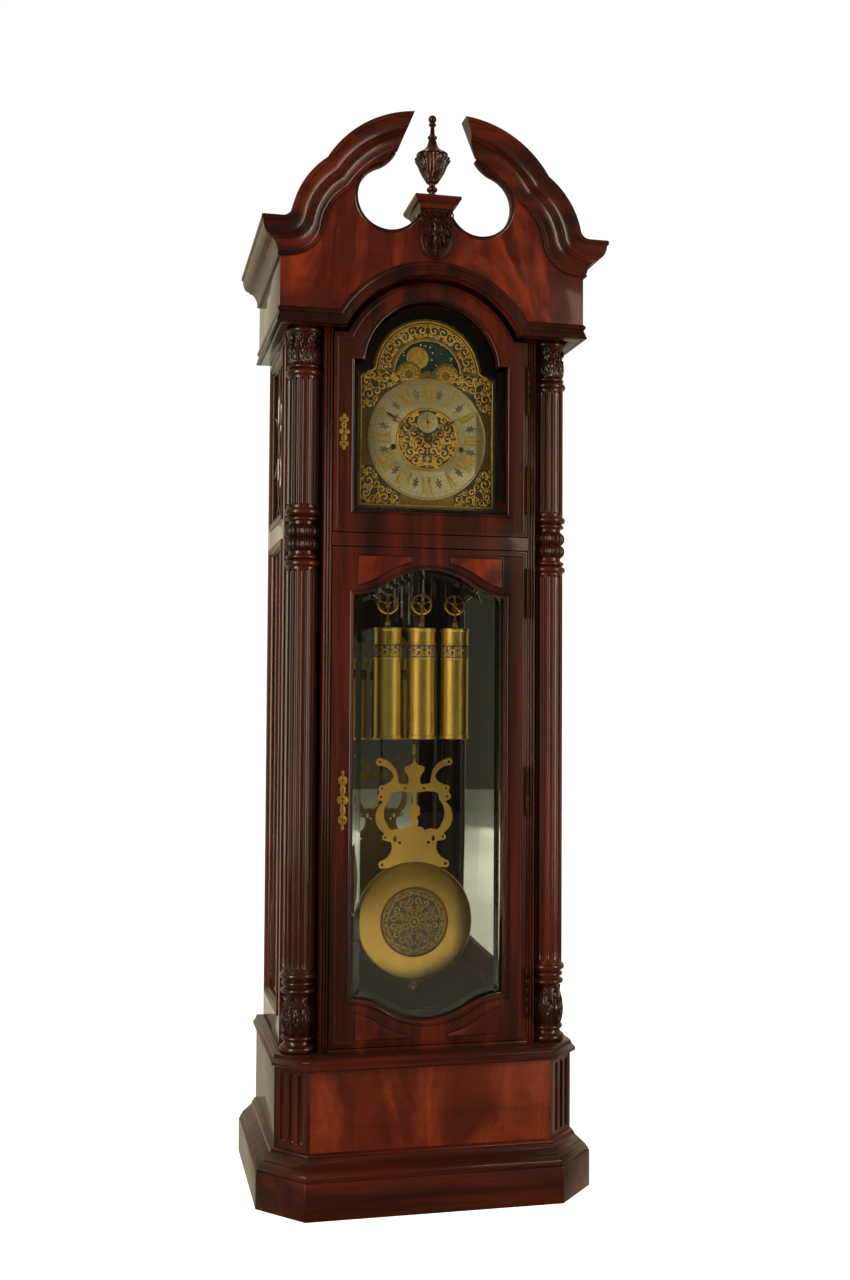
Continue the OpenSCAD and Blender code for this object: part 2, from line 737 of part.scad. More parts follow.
hinge_h = 90;
knuckle_h = hinge_h / 5;
upper_hinges = [upper_z + 48, upper_z + upper_door_h - 66];
lower_hinges = [lower_z + 47, lower_z + lower_door_h / 2 - 39.5, lower_z + lower_door_h - 127];
leaf_t = (opening_x - door_x) / 2 - 0.1;

// Knuckles with a given parity: 0 on the case, 1 on the door.
module knuckles(z, parity, bore) {
    for (k = [parity:2:4]) translate([hinge_x, hinge_y, z + k * knuckle_h + 0.2]) difference() {
        cylinder(h = knuckle_h - 0.4, r = hinge_r);
        translate([0, 0, -1]) cylinder(h = knuckle_h + 2, r = bore);
    }
}

module case_hinges() {
    color(brass) for (z = concat(upper_hinges, lower_hinges)) {
        knuckles(z, 0, hinge_pin_r - 0.5);
        translate([hinge_x, hinge_y, z - 3]) cylinder(h = hinge_h + 6, r = hinge_pin_r);
        for (e = [z - 4, z + hinge_h + 0.6]) translate([hinge_x, hinge_y, e]) cylinder(h = 3.4, r = hinge_r);
        box([opening_x - leaf_t, face_y, z + 0.2], [opening_x, face_y + 20, z + hinge_h - 0.2]);
        for (k = [0, 2, 4]) box([opening_x - leaf_t, hinge_y, z + k * knuckle_h + 0.2],
            [opening_x, face_y + 1, z + (k + 1) * knuckle_h - 0.2]);
    }
}

module door_hinges(zs) {
    color(brass) for (z = zs) {
        knuckles(z, 1, hinge_pin_r + running_gap);
        box([door_x, face_y, z + 0.2], [door_x + leaf_t, face_y + 20, z + hinge_h - 0.2]);
        for (k = [1, 3]) difference() {
            box([door_x, hinge_y, z + k * knuckle_h + 0.2],
                [door_x + leaf_t, face_y + 1, z + (k + 1) * knuckle_h - 0.2]);
            translate([hinge_x, hinge_y, z]) cylinder(h = hinge_h, r = hinge_pin_r + running_gap);
        }
    }
}

module upper_door_hinges() {
    door_hinges(upper_hinges);
}

module lower_door_hinges() {
    door_hinges(lower_hinges);
}

// ---- dial --------------------------------------------------------------------------

dial_t = 2;
dial_low = dial_z - 139;
hump_x = 38;
hump_r = 26;

module dial_outline() {
    translate([-dial_w / 2, dial_low]) square([dial_w, moon_z - dial_low - 2]);
    translate([0, moon_z]) circle(r = dial_arch_r, $fn = 128);
}

module winding_holes(r) {
    for (i = [0:2]) translate([weight_xs[i], weight_zs[i]]) circle(r = r);
}

module dial_plate() {
    color(brass) {
        upright(dial_y, dial_t) difference() {
            dial_outline();
            difference() {
                intersection() {
                    translate([0, moon_z]) circle(r = moon_opening_r, $fn = 96);
                    translate([-moon_opening_r, moon_z]) square([2 * moon_opening_r, moon_opening_r]);
                }
                for (s = [-1, 1]) translate([s * hump_x, moon_z - 2]) circle(r = hump_r);
                translate([0, moon_z]) circle(r = 7);
            }
            winding_holes(5);
            translate([0, dial_z]) circle(r = 5.6);
            translate([0, dial_z + seconds_up]) circle(r = 2);
        }
        for (x = [-90, 90], z = [dial_z - 80, dial_z + 62])
            shaft(x, z, 3, dial_y + dial_t, front_plate_y);
    }
}

module chapter_ring() {
    color(steel) upright(dial_y - 2, 2) difference() {
        translate([0, dial_z]) circle(r = chapter_r, $fn = 128);
        translate([0, dial_z]) circle(r = dial_centre_r + 0.3, $fn = 96);
        winding_holes(5);
    }
}

module dial_centre() {
    color(brass) {
        upright(dial_y - 1.2, 1.2) difference() {
            translate([0, dial_z]) circle(r = dial_centre_r, $fn = 96);
            translate([0, dial_z]) circle(r = 5.6);
            translate([0, dial_z + seconds_up]) circle(r = 2);
            winding_holes(5);
            for (k = [0:17]) translate([0, dial_z]) rotate(20 * k + 10) translate([50, 0]) circle(r = 4);
        }
        upright(dial_y - 2, 0.8) translate([0, dial_z + seconds_up]) difference() {
            circle(r = seconds_r);
            circle(r = 0.6 * seconds_r);
        }
    }
}

// Pierced corner ornaments and the ring of ornament round the moon opening.
module dial_spandrels() {
    half = dial_w / 2 - 6;
    color(brass) upright(dial_y - 1.5, 1.5) {
        difference() {
            translate([-half, dial_z - half]) square([2 * half, moon_z - 8 - dial_z + half]);
            translate([0, dial_z]) circle(r = chapter_r + 1, $fn = 128);
            translate([-half + 52, dial_z - half - 1]) square([2 * half - 104, 2 * half + 2]);
            translate([-half - 1, dial_z - half + 52]) square([2 * half + 2, 2 * half - 104 - 9]);
        }
        difference() {
            translate([0, moon_z + 3]) intersection() {
                circle(r = dial_arch_r - 6, $fn = 128);
                translate([-dial_arch_r, 0]) square([2 * dial_arch_r, dial_arch_r]);
            }
            translate([0, moon_z]) circle(r = moon_opening_r + 2, $fn = 96);
            for (k = [1:7]) translate([0, moon_z]) rotate(22.5 * k) translate([88, 0]) circle(r = 5);
        }
    }
}

// ---- movement ------------------------------------------------------------------------

plate_low = board_z + board_t;
plate_high = arm_z + 20;

module arbor_holes() {
    for (i = [0:2]) translate([weight_xs[i], weight_zs[i]]) circle(r = arbor_r + running_gap);
    translate([0, dial_z]) circle(r = arbor_r - 0.5 + running_gap);
    translate([0, dial_z + seconds_up]) circle(r = 1 + running_gap);
    translate([0, arm_z]) circle(r = 2 + running_gap);
}

module movement_frame() {
    color(brass) {
        for (y = [front_plate_y, back_plate_y]) upright(y, plate_t) difference() {
            translate([-plate_w / 2, plate_low]) square([plate_w, plate_high - plate_low]);
            arbor_holes();
        }
        for (s = [-1, 1], z = [plate_low + 10, plate_high - 10])
            shaft(s * (plate_w / 2 - 10), z, 5, front_plate_y + plate_t, back_plate_y);
        upright(back_plate_y + plate_t, pendulum_y + 10 - back_plate_y - plate_t) {
            translate([-14, arm_z + 8]) square([28, 10]);
        }
    }
}

// Board that carries the movement; its front is narrower, to pass the corner posts.
module seat_board() {
    post_y = wall_y + 12.3;
    color(wood) difference() {
        union() {
            box([-case_w / 2 + wall_t, post_y, board_z],
                [case_w / 2 - wall_t, back_plate_y + plate_t + 4, board_z + board_t]);
            box([-opening_x, front_plate_y - 10, board_z], [opening_x, post_y + 1, board_z + board_t]);
        }
        for (x = weight_xs, s = [-1, 1])
            translate([x + s * drum_r - 4, weight_y - 8, board_z - 1]) cube([8, 16, board_t + 2]);
    }
}

module chime_rods() {
    rod_y = inner_back_y - 30;
    color(steel) {
        box([-70, rod_y - 10, board_z + 20], [70, inner_back_y, board_z + 46]);
        for (k = [0:7]) translate([-56 + 16 * k, rod_y, board_z - 150 - 14 * k])
            cylinder(h = 170 + 14 * k, r = 2.5);
    }
}

// ---- hands -----------------------------------------------------------------------------

module pointer(angle, length, wide, y, t) {
    upright(y, t) translate([0, dial_z]) rotate(-angle) {
        circle(r = 7);
        polygon(both_halves([[wide / 3, 0], [wide / 2, 0.5 * length], [0, length]]));
    }
}

hour_y = dial_y - 7;
minute_y = dial_y - 10;

// Minute hand with the centre arbor and centre wheel behind it.
module minute_hand() {
    color(black) pointer(300, 108, 9, minute_y, 1.2);
    color(brass) {
        shaft(0, dial_z, arbor_r - 0.5, minute_y + 1.2, back_plate_y + plate_t);
        shaft(0, dial_z, 4.5, minute_y - 2, minute_y);
        shaft(0, dial_z, 28, back_plate_y - 8, back_plate_y - 5.5);
    }
}

// Hour hand on its pipe, with the hour wheel behind the dial.
module hour_hand() {
    color(black) difference() {
        pointer(55, 72, 12, hour_y, 1.2);
        shaft(0, dial_z, arbor_r, hour_y - 1, hour_y + 3);
    }
    color(brass) difference() {
        union() {
            shaft(0, dial_z, 5.2, hour_y + 1.2, front_plate_y - 0.5);
            shaft(0, dial_z, 22, front_plate_y - 8, front_plate_y - 6);
        }
        shaft(0, dial_z, arbor_r - 0.5 + running_gap, hour_y, front_plate_y);
    }
}

// Seconds hand on the escape wheel's arbor.
module seconds_hand() {
    z = dial_z + seconds_up;
    color(black) upright(dial_y - 4, 0.8) translate([0, z]) {
        circle(r = 3);
        translate([-0.8, -8]) square([1.6, 27]);
    }
    color(brass) {
        shaft(0, z, 1, dial_y - 3.2, back_plate_y + plate_t);
        upright(back_plate_y - 18, 2) difference() {
            translate([0, z]) circle(r = 18);
            for (k = [0:29]) translate([0, z]) rotate(12 * k) translate([18, 0]) circle(r = 1.3);
        }
    }
}

module moon_disc() {
    color([0.05, 0.12, 0.10]) upright(dial_y + dial_t + 0.5, 1.2)
        translate([0, moon_z]) circle(r = 74, $fn = 96);
    color(brass) {
        for (a = [122, 302]) upright(dial_y + dial_t + 0.1, 0.4) translate([0, moon_z]) rotate(a)
            translate([38, 0]) circle(r = 22.5);
        shaft(0, moon_z, 2.5, dial_y + dial_t + 1.7, front_plate_y - 2);
    }
}

// Anchor over the escape wheel, its arbor, and the crutch that drives the pendulum.
module anchor_crutch() {
    wheel = [0, dial_z + seconds_up];
    color(steel) {
        upright(back_plate_y - 18, 2) difference() {
            union() {
                translate([0, arm_z]) circle(r = 6);
                intersection() {
                    difference() {
                        translate(wheel) circle(r = 26);
                        translate(wheel) circle(r = 20.5);
                    }
                    translate(wheel + [-22, 4]) square([44, 30]);
                }
                translate([-3, wheel.y + 22]) square([6, arm_z - wheel.y - 22]);
            }
        }
        shaft(0, arm_z, 2, front_plate_y, back_plate_y + plate_t + 6);
        upright(back_plate_y + plate_t + 1, 3) {
            translate([-3, arm_z - 96]) square([6, 96]);
            translate([0, arm_z]) circle(r = 6);
        }
        upright(back_plate_y + plate_t + 4, pendulum_y - back_plate_y - plate_t)
            mirrored_2d() translate([5, arm_z - 100]) square([2, 8]);
        upright(back_plate_y + plate_t + 1, 3) translate([-7, arm_z - 100]) square([14, 8]);
    }
}

// ---- pendulum ------------------------------------------------------------------------------

rod_t = 3;
lyre_low = disc_z + disc_r - 22;

module pendulum_rod() {
    color(steel) {
        upright(pendulum_y - rod_t / 2, rod_t)
            translate([-4, disc_z - disc_r - 20]) square([8, pendulum_len + disc_r - 20]);
        upright(pendulum_y - 0.4, 0.8) translate([-8, arm_z - 42]) square([16, 49]);
        translate([0, pendulum_y, disc_z - disc_r - 18]) cylinder(h = 12, r = 8);
        translate([0, pendulum_y, disc_z - disc_r - 24]) cylinder(h = 6, r = 3);
    }
}

// Right half of the flat lyre's outline, bottom to top: foot, waist, belly, knobs and curled tip.
lyre_right = let(z = lyre_low)
    concat([[58, z + 9]], arc([66, z + 16], 8, -120, 75, 8), bow([66, z + 25], [46, z + 52], -5, 5),
        [[48, z + 62]], arc([60, z + 71], 6.5, -90, 80, 6), bow([62, z + 79], [65, z + 143], 17, 10),
        arc([70, z + 153], 7, -60, 60, 6), arc([67, z + 170], 7, -40, 110, 6),
        bow([57, z + 180], [43, z + 196], -3, 4), bow([43, z + 196], [68, z + 216], -4, 5),
        arc([72, z + 224], 8, -100, 110, 8), bow([64, z + 229], [36, z + 200], 5, 5),
        [[33, z + 180], [14, z + 178], [10, z + 190], [20, z + 208], [17, z + 220], [6, z + 230]]);

// Right half of the opening between its arms.
lyre_opening = let(z = lyre_low)
    concat([[8, z + 92], [20, z + 84], [44, z + 86]], bow([44, z + 86], [50, z + 142], 3, 5),
        [[48, z + 161], [12, z + 163]]);

module pendulum_lyre() {
    color(brass) upright(pendulum_y - rod_t / 2 - 2, 2) difference() {
        polygon(both_halves(lyre_right));
        polygon(both_halves(lyre_opening));
        for (s = [-1, 1]) translate([s * 30, lyre_low + 60]) circle(r = 3);
    }
}

disc_profile = concat([[0, -disc_t / 2], [72, -disc_t / 2]],
    bow([72, -disc_t / 2], [disc_r - 6, -disc_t / 2 + 4], 1, 4),
    bow([disc_r - 6, -disc_t / 2 + 4], [disc_r - 6, disc_t / 2 - 4], 6, 8),
    bow([disc_r - 6, disc_t / 2 - 4], [72, disc_t / 2], 1, 4), [[0, disc_t / 2]]);

// Hollow disc with a pierced roundel let into its front.
module pendulum_disc() {
    color(brass) translate([0, pendulum_y, disc_z]) difference() {
        rotate([90, 0, 0]) rotate_extrude($fn = 128) polygon(disc_profile);
        rotate([90, 0, 0]) translate([0, 0, disc_t / 2 - 1]) difference() {
            cylinder(h = 2, r = 70);
            for (k = [0:11]) rotate(30 * k) translate([42, 0]) cylinder(h = 2, r = 10);
            cylinder(h = 2, r = 26);
        }
        translate([-4.2, -rod_t / 2 - 0.2, -disc_r - 1]) cube([8.4, rod_t + 0.4, 2 * disc_r + 2]);
        translate([-74, -rod_t / 2 - 2.3, disc_r - 24]) cube([148, 2.4, 30]);
    }
}

// ---- weights, cables and drums ------------------------------------------------------------------

hook_z = 14;

module weight(i) {
    translate([weight_xs[i], weight_y, 0]) color(brass) {
        translate([0, 0, weight_z]) cylinder(h = weight_len, r = weight_r - 1);
        for (z = [weight_z, weight_top - 8]) translate([0, 0, z]) cylinder(h = 8, r = weight_r);
        translate([0, 0, weight_top - 64]) cylinder(h = 34, r = weight_r - 0.4);
        translate([0, 0, weight_top]) cylinder(h = hook_z, r = 3);
        translate([-5, -5.5, weight_top + 10]) cube([10, 11, 4]);
        for (y = [-5.5, 3.7]) translate([-3, y, weight_top + 10]) cube([6, 1.8, 41]);
        translate([0, 5.5, pulley_z]) rotate([90, 0, 0]) cylinder(h = 11, r = 1.5);
    }
}

module weight_left() {
    weight(0);
}

module weight_centre() {
    weight(1);
}

module weight_right() {
    weight(2);
}

module pulley(i) {
    groove = drum_r;
    color(brass) translate([weight_xs[i], weight_y, pulley_z]) rotate([90, 0, 0]) difference() {
        union() {
            difference() {
                translate([0, 0, -2.5]) cylinder(h = 5, r = groove + 1.6);
                rotate_extrude() translate([groove + 0.4, 0]) {
                    circle(r = 1.3);
                    translate([0, -1.3]) square([3, 2.6]);
                }
                translate([0, 0, -3]) cylinder(h = 6, r = groove - 3);
            }
            for (k = [0:4]) rotate(72 * k + 18) translate([0, -1.2, -1]) cube([groove - 2, 2.4, 2]);
            translate([0, 0, -2.5]) cylinder(h = 5, r = 4.5);
        }
        translate([0, 0, -4]) cylinder(h = 8, r = 1.5 + running_gap);
    }
}

module pulley_left() {
    pulley(0);
}

module pulley_centre() {
    pulley(1);
}

module pulley_right() {
    pulley(2);
}

// The two vertical runs of cable between the movement and a pulley.
module strands(i) {
    color(steel) for (s = [-1, 1]) translate([weight_xs[i] + s * drum_r, weight_y, pulley_z])
        cylinder(h = weight_zs[i] - pulley_z, r = cable_r, $fn = 24);
}

module strands_left() {
    strands(0);
}

module strands_centre() {
    strands(1);
}

module strands_right() {
    strands(2);
}

// Winding drum with its great wheel and squared winding arbor.
module drum(i) {
    x = weight_xs[i];
    z = weight_zs[i];
    color(brass) {
        shaft(x, z, drum_r - 1.5, weight_y - 11, weight_y + 11);
        for (y = [weight_y - 12.5, weight_y + 11]) shaft(x, z, drum_r + 3, y, y + 1.5);
        shaft(x, z, 33, back_plate_y - 28, back_plate_y - 25);
        shaft(x, z, arbor_r, dial_y + 8, back_plate_y + plate_t);
        translate([x - 2, dial_y - 1, z - 2]) cube([4, 9, 4]);
    }
}

module drum_left() {
    drum(0);
}

module drum_centre() {
    drum(1);
}

module drum_right() {
    drum(2);
}

// ---- parts shown ------------------------------------------------------------

plinth();
base_moulding();
base_box();
base_front_panel();
base_cap();
side_wall_left();
side_wall_right();
back_panel();
back_mirror();
front_frame();
column_left();
column_right();
frieze_board();
frieze_sides();
hood_moulding();
hood_roof();
crown_left();
crown_right();
keystone();
keystone_cap();
finial();
side_fretwork();
side_glass();
seat_board();
dial_plate();
chapter_ring();
dial_centre();
dial_spandrels();
movement_frame();
chime_rods();
case_hinges();
upper_door_frame();
upper_door_glass();
upper_escutcheon();
upper_door_hinges();
lower_door_frame();
lower_door_glass();
lower_door_panels();
lower_escutcheon();
lower_door_hinges();
minute_hand();
hour_hand();
seconds_hand();
moon_disc();
anchor_crutch();
pendulum_rod();
pendulum_lyre();
pendulum_disc();
weight_left();
weight_centre();
weight_right();
pulley_left();
pulley_centre();
pulley_right();
strands_left();
strands_centre();
strands_right();
drum_left();
drum_centre();
drum_right();
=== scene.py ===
"""Longcase clock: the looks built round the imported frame. Lengths are in millimetres until a mesh is made."""

import json
import math
import random

import bmesh
import bpy
import numpy as np
from mathutils import Matrix, Vector

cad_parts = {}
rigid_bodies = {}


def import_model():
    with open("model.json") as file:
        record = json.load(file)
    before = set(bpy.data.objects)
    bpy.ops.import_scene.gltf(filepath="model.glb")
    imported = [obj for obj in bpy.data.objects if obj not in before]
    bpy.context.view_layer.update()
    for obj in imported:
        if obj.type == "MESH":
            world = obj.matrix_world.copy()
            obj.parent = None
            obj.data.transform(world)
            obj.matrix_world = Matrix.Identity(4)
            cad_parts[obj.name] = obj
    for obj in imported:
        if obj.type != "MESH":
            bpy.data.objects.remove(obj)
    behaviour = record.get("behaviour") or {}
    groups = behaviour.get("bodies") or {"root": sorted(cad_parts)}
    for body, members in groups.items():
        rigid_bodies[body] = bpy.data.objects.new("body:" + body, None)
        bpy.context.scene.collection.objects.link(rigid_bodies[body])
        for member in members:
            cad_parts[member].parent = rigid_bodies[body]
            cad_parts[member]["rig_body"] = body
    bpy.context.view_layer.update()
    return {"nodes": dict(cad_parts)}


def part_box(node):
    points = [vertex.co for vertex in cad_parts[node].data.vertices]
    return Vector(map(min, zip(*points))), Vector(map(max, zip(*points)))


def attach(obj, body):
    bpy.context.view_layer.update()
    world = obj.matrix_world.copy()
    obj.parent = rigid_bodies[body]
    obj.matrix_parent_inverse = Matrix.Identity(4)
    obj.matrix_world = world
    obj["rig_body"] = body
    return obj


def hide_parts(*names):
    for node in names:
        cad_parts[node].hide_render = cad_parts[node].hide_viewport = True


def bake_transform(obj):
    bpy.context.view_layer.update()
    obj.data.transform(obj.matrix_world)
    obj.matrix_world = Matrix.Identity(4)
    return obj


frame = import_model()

MM = 0.001
TAU = 2 * math.pi


# ---- sizes read from the frame ----

def extent(node):
    """Lowest and highest corner of a CAD node, in millimetres."""
    low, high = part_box(node)
    return np.array(low) / MM, np.array(high) / MM


def middle(box, axis):
    """Halfway between a box's two corners along one axis."""
    return (box[0][axis] + box[1][axis]) / 2


PLINTH = extent("plinth")
BASE = extent("base_box")
BASE_PANEL = extent("base_front_panel")
CAP = extent("base_cap")
FRIEZE = extent("frieze_board")
CROWN = extent("crown_right")
UPPER_DOOR = extent("upper_door_frame")
LOWER_DOOR = extent("lower_door_frame")
COLUMN = extent("column_right")
DIAL = extent("dial_plate")
RING = extent("chapter_ring")
CENTRE = extent("dial_centre")
MOON = extent("moon_disc")
DISC = extent("pendulum_disc")
LYRE = extent("pendulum_lyre")
FINIAL = extent("finial")
KEY_CAP = extent("keystone_cap")
WALL = extent("side_wall_right")

BACK_Y = PLINTH[1][1]
FACE_Y = LOWER_DOOR[0][1]
FRIEZE_Y = FRIEZE[0][1]
FLOOR_Z = CAP[1][2]
DOOR_X = LOWER_DOOR[1][0]
DOOR_T = LOWER_DOOR[1][1] - FACE_Y
CROWN_Z = CROWN[0][2]
FRIEZE_Z = FRIEZE[0][2]
FRIEZE_HALF = FRIEZE[1][0]
ARCH_R = 183
ARCH_GAP = 10
ARCH_Z = UPPER_DOOR[1][2] - ARCH_R
SHOULDER_Z = ARCH_Z + 76
SMOOTH_ANGLE = 38
DIAL_Z = middle(RING, 2)
DIAL_AT = (0, DIAL_Z)
DIAL_Y = DIAL[0][1]
RING_R = RING[1][0]
CENTRE_R = CENTRE[1][0]
MOON_Z = middle(MOON, 2)
DISC_Z = middle(DISC, 2)
DISC_AT = (0, DISC_Z)
DISC_R = DISC[1][0]
PENDULUM_Y = middle(DISC, 1)
COLUMN_X = middle(COLUMN, 0)
COLUMN_Y = middle(COLUMN, 1)
WEIGHTS = {k: extent("weight_" + k) for k in ("left", "centre", "right")}
STRANDS = {k: extent("strands_" + k) for k in WEIGHTS}
PULLEYS = {k: extent("pulley_" + k) for k in WEIGHTS}
WINDING = [(middle(STRANDS[k], 0), STRANDS[k][1][2]) for k in WEIGHTS]
WEIGHT_Y = middle(WEIGHTS["left"], 1)
CABLE_R = 0.8
DRUM_R = (STRANDS["left"][1][0] - STRANDS["left"][0][0]) / 2 - CABLE_R


# ---- shapes ----

def bow(p, q, s, n=8):
    """Points after p up to q on an arc whose middle stands s to the right of p-q."""
    p, q = np.array(p, float), np.array(q, float)
    v = q - p
    c = np.hypot(*v)
    t = v / c
    r = (c * c / 4 + s * s) / (2 * abs(s))
    m = np.array([t[1], -t[0]]) * (1 if s > 0 else -1)
    a = 2 * math.atan(2 * abs(s) / c)
    o = (p + q) / 2 - m * (r - abs(s))
    return [o + r * (math.cos(b) * m + math.sin(b) * t) for b in np.linspace(-a, a, n + 1)[1:]]


def arc(o, r, a, b, n=16):
    """Points on a circle from angle a to angle b, in degrees."""
    return [np.array([o[0] + r * math.cos(w), o[1] + r * math.sin(w)])
            for w in np.radians(np.linspace(a, b, n + 1))]


def mirrored(points):
    """The points on the other side of the middle, in reverse order."""
    return [np.array([-p[0], p[1]]) for p in reversed(points)]


def both_halves(points):
    """A closed outline from the points of its right half, listed bottom to top."""
    return [np.array(p, float) for p in points] + mirrored(points)


def normals(path, closed):
    """Mitred normals to the right of a 2D path, stretched so that offsets keep their distance."""
    p = np.array(path, float)
    step = np.roll(p, -1, 0) - p
    length = np.hypot(step[:, 0], step[:, 1])[:, None]
    step = step / np.maximum(length, 1e-9)
    before = np.roll(step, 1, 0)
    if not closed:
        step[-1] = before[-1]
        before[0] = step[0]
    n1 = np.stack([before[:, 1], -before[:, 0]], 1)
    n2 = np.stack([step[:, 1], -step[:, 0]], 1)
    m = n1 + n2
    return m / np.maximum((m * n1).sum(1), 0.35)[:, None]


def offset(path, d, closed=True):
    """The path moved d to its right."""
    return list(np.array(path, float) + normals(path, closed) * d)


def grid(sections, wrap=True, closed=False, caps=True):
    """Vertices and faces through a list of sections of equal length. wrap joins each section's ends."""
    s = np.array(sections, float)
    m, n = s.shape[:2]
    faces = []
    for k in range(m if closed else m - 1):
        for i in range(n if wrap else n - 1):
            a, b = k * n + i, k * n + (i + 1) % n
            c, d = ((k + 1) % m) * n + (i + 1) % n, ((k + 1) % m) * n + i
            faces.append((a, b, c, d))
    if caps and wrap and not closed:
        faces += [tuple(range(n - 1, -1, -1)), tuple((m - 1) * n + i for i in range(n))]
    return s.reshape(-1, 3), faces


def shell(front, back):
    """A closed thin body between two equal grids of points."""
    f, b = np.array(front, float), np.array(back, float)
    m, n = f.shape[:2]
    ring = [(0, j) for j in range(n)] + [(i, n - 1) for i in range(1, m)]
    ring += [(m - 1, j) for j in range(n - 2, -1, -1)] + [(i, 0) for i in range(m - 2, 0, -1)]
    faces = []
    for i in range(m - 1):
        for j in range(n - 1):
            a = i * n + j
            faces.append((a, a + 1, a + n + 1, a + n))
            faces.append((m * n + a, m * n + a + n, m * n + a + n + 1, m * n + a + 1))
    for (i, j), (k, l) in zip(ring, ring[1:] + ring[:1]):
        faces.append((i * n + j, m * n + i * n + j, m * n + k * n + l, k * n + l))
    return np.concatenate([f.reshape(-1, 3), b.reshape(-1, 3)]), faces


def lathe(profile, n=64, at=(0, 0, 0), shape=None):
    """A turned body from (radius, height) pairs; shape(angle, height, radius) may carve it."""
    rings = []
    for r, h in profile:
        ring = []
        for a in (TAU * i / n for i in range(n)):
            carved = shape(a, h, r) if shape else r
            ring.append((carved * math.cos(a), carved * math.sin(a), h))
        rings.append(ring)
    v, f = grid(rings)
    return v + np.array(at), f


def spun(profile, at, n, wrap=True):
    """A body turned about an axis that runs front to back through at. profile is (radius, y)."""
    rings = []
    for a in (TAU * k / n for k in range(n)):
        rings.append([(at[0] + r * math.cos(a), y, at[1] + r * math.sin(a)) for r, y in profile])
    return grid(rings, closed=True, wrap=wrap)


def tube(path, radius, n=6, flat=1.0, closed=False, across=(0, 1, 0)):
    """A rod along a path. radius is a number or one per point; flat squeezes it along across."""
    p = np.array(path, float)
    m = len(p)
    r = np.ones(m) * radius
    step = np.roll(p, -1, 0) - np.roll(p, 1, 0)
    if not closed:
        step[0], step[-1] = p[1] - p[0], p[-1] - p[-2]
    step /= np.maximum(np.linalg.norm(step, axis=1), 1e-9)[:, None]
    up = np.tile(np.array(across, float), (m, 1))
    side = np.cross(step, up)
    weak = np.linalg.norm(side, axis=1) < 1e-3
    side[weak] = np.cross(step[weak], np.array([1.0, 0.02, 0.03]))
    side /= np.linalg.norm(side, axis=1)[:, None]
    up = np.cross(side, step)
    rings = [[p[k] + r[k] * (math.cos(a) * side[k] + flat * math.sin(a) * up[k])
              for a in np.arange(n) * TAU / n] for k in range(m)]
    return grid(rings, closed=closed)


def plate(outlines, y0, y1, edge=0.0, steps=2):
    """A flat plate in X and Z between y0 and y1 from closed outlines; inner outlines are holes."""
    curve = bpy.data.curves.new("outline", "CURVE")
    curve.dimensions = "2D"
    curve.fill_mode = "BOTH"
    curve.extrude = ((y1 - y0) / 2 - edge) * MM
    curve.bevel_depth = edge * MM
    curve.bevel_resolution = steps - 1
    curve.offset = -edge * MM
    for outline in outlines:
        spline = curve.splines.new("POLY")
        spline.points.add(len(outline) - 1)
        for point, (x, z) in zip(spline.points, outline):
            point.co = (x * MM, z * MM, 0, 1)
        spline.use_cyclic_u = True
    holder = show(bpy.data.objects.new("outline", curve))
    mesh = bpy.data.meshes.new_from_object(holder.evaluated_get(bpy.context.evaluated_depsgraph_get()))
    bpy.data.objects.remove(holder)
    co = np.array([v.co for v in mesh.vertices], float).reshape(-1, 3) / MM
    faces = [tuple(p.vertices) for p in mesh.polygons]
    bpy.data.meshes.remove(mesh)
    return np.stack([co[:, 0], (y0 + y1) / 2 - co[:, 2], co[:, 1]], 1), faces


def moved(part, by):
    """The part shifted by a vector."""
    return part[0] + np.array(by, float), part[1]


def wound(faces):
    """The same faces seen from their other side."""
    return [tuple(reversed(f)) for f in faces]


def flipped(part):
    """The part mirrored left to right."""
    return part[0] * np.array([-1, 1, 1]), wound(part[1])


def facing(part, at, out=1):
    """A turned body laid down at a point, its axis toward the front, or toward the back where out is -1."""
    v, f = part
    return np.stack([at[0] + v[:, 0], at[1] - out * v[:, 2], at[2] + v[:, 1]], 1), f


def both(parts):
    """The parts and their mirror images."""
    return parts + [flipped(p) for p in parts]


def piece(name, parts, finish, body="root", stands_for=(), smooth=SMOOTH_ANGLE):
    """One Blender object from parts, each a pair of vertices and faces, riding on a body."""
    verts, faces, start = [], [], 0
    for v, f in parts:
        verts.append(v)
        faces += [tuple(i + start for i in face) for face in f]
        start += len(v)
    mesh = bpy.data.meshes.new(name)
    mesh.from_pydata(np.concatenate(verts) * MM, [], faces)
    bm = bmesh.new()
    bm.from_mesh(mesh)
    bmesh.ops.remove_doubles(bm, verts=bm.verts, dist=2e-6)
    bmesh.ops.recalc_face_normals(bm, faces=bm.faces)
    bm.to_mesh(mesh)
    bm.free()
    return place(mesh, name, finish, body, stands_for, smooth)


def show(obj):
    """Puts an object in the scene."""
    bpy.context.scene.collection.objects.link(obj)
    return obj


def place(mesh, name, finish, body, stands_for, smooth):
    """Makes an object of a mesh, with its finish, body and the CAD nodes that it stands for."""
    mesh.materials.clear()
    mesh.materials.append(finish)
    mesh.polygons.foreach_set("use_smooth", [True] * len(mesh.polygons))
    mesh.set_sharp_from_angle(angle=math.radians(smooth))
    obj = show(bpy.data.objects.new(name, mesh))
    if body:
        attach(obj, body)
    if stands_for:
        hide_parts(*stands_for)
    return obj


def soften_edges(bm, width):
    """Rounds the sharp edges of a mesh over a width in millimetres."""
    bmesh.ops.dissolve_limit(bm, angle_limit=math.radians(0.5), verts=bm.verts, edges=bm.edges)
    sharp = [e for e in bm.edges if e.is_manifold and e.calc_face_angle() > math.radians(32)]
    bmesh.ops.bevel(bm, geom=sharp, offset=width * MM, segments=2, profile=0.5, affect="EDGES",
                    clamp_overlap=True)


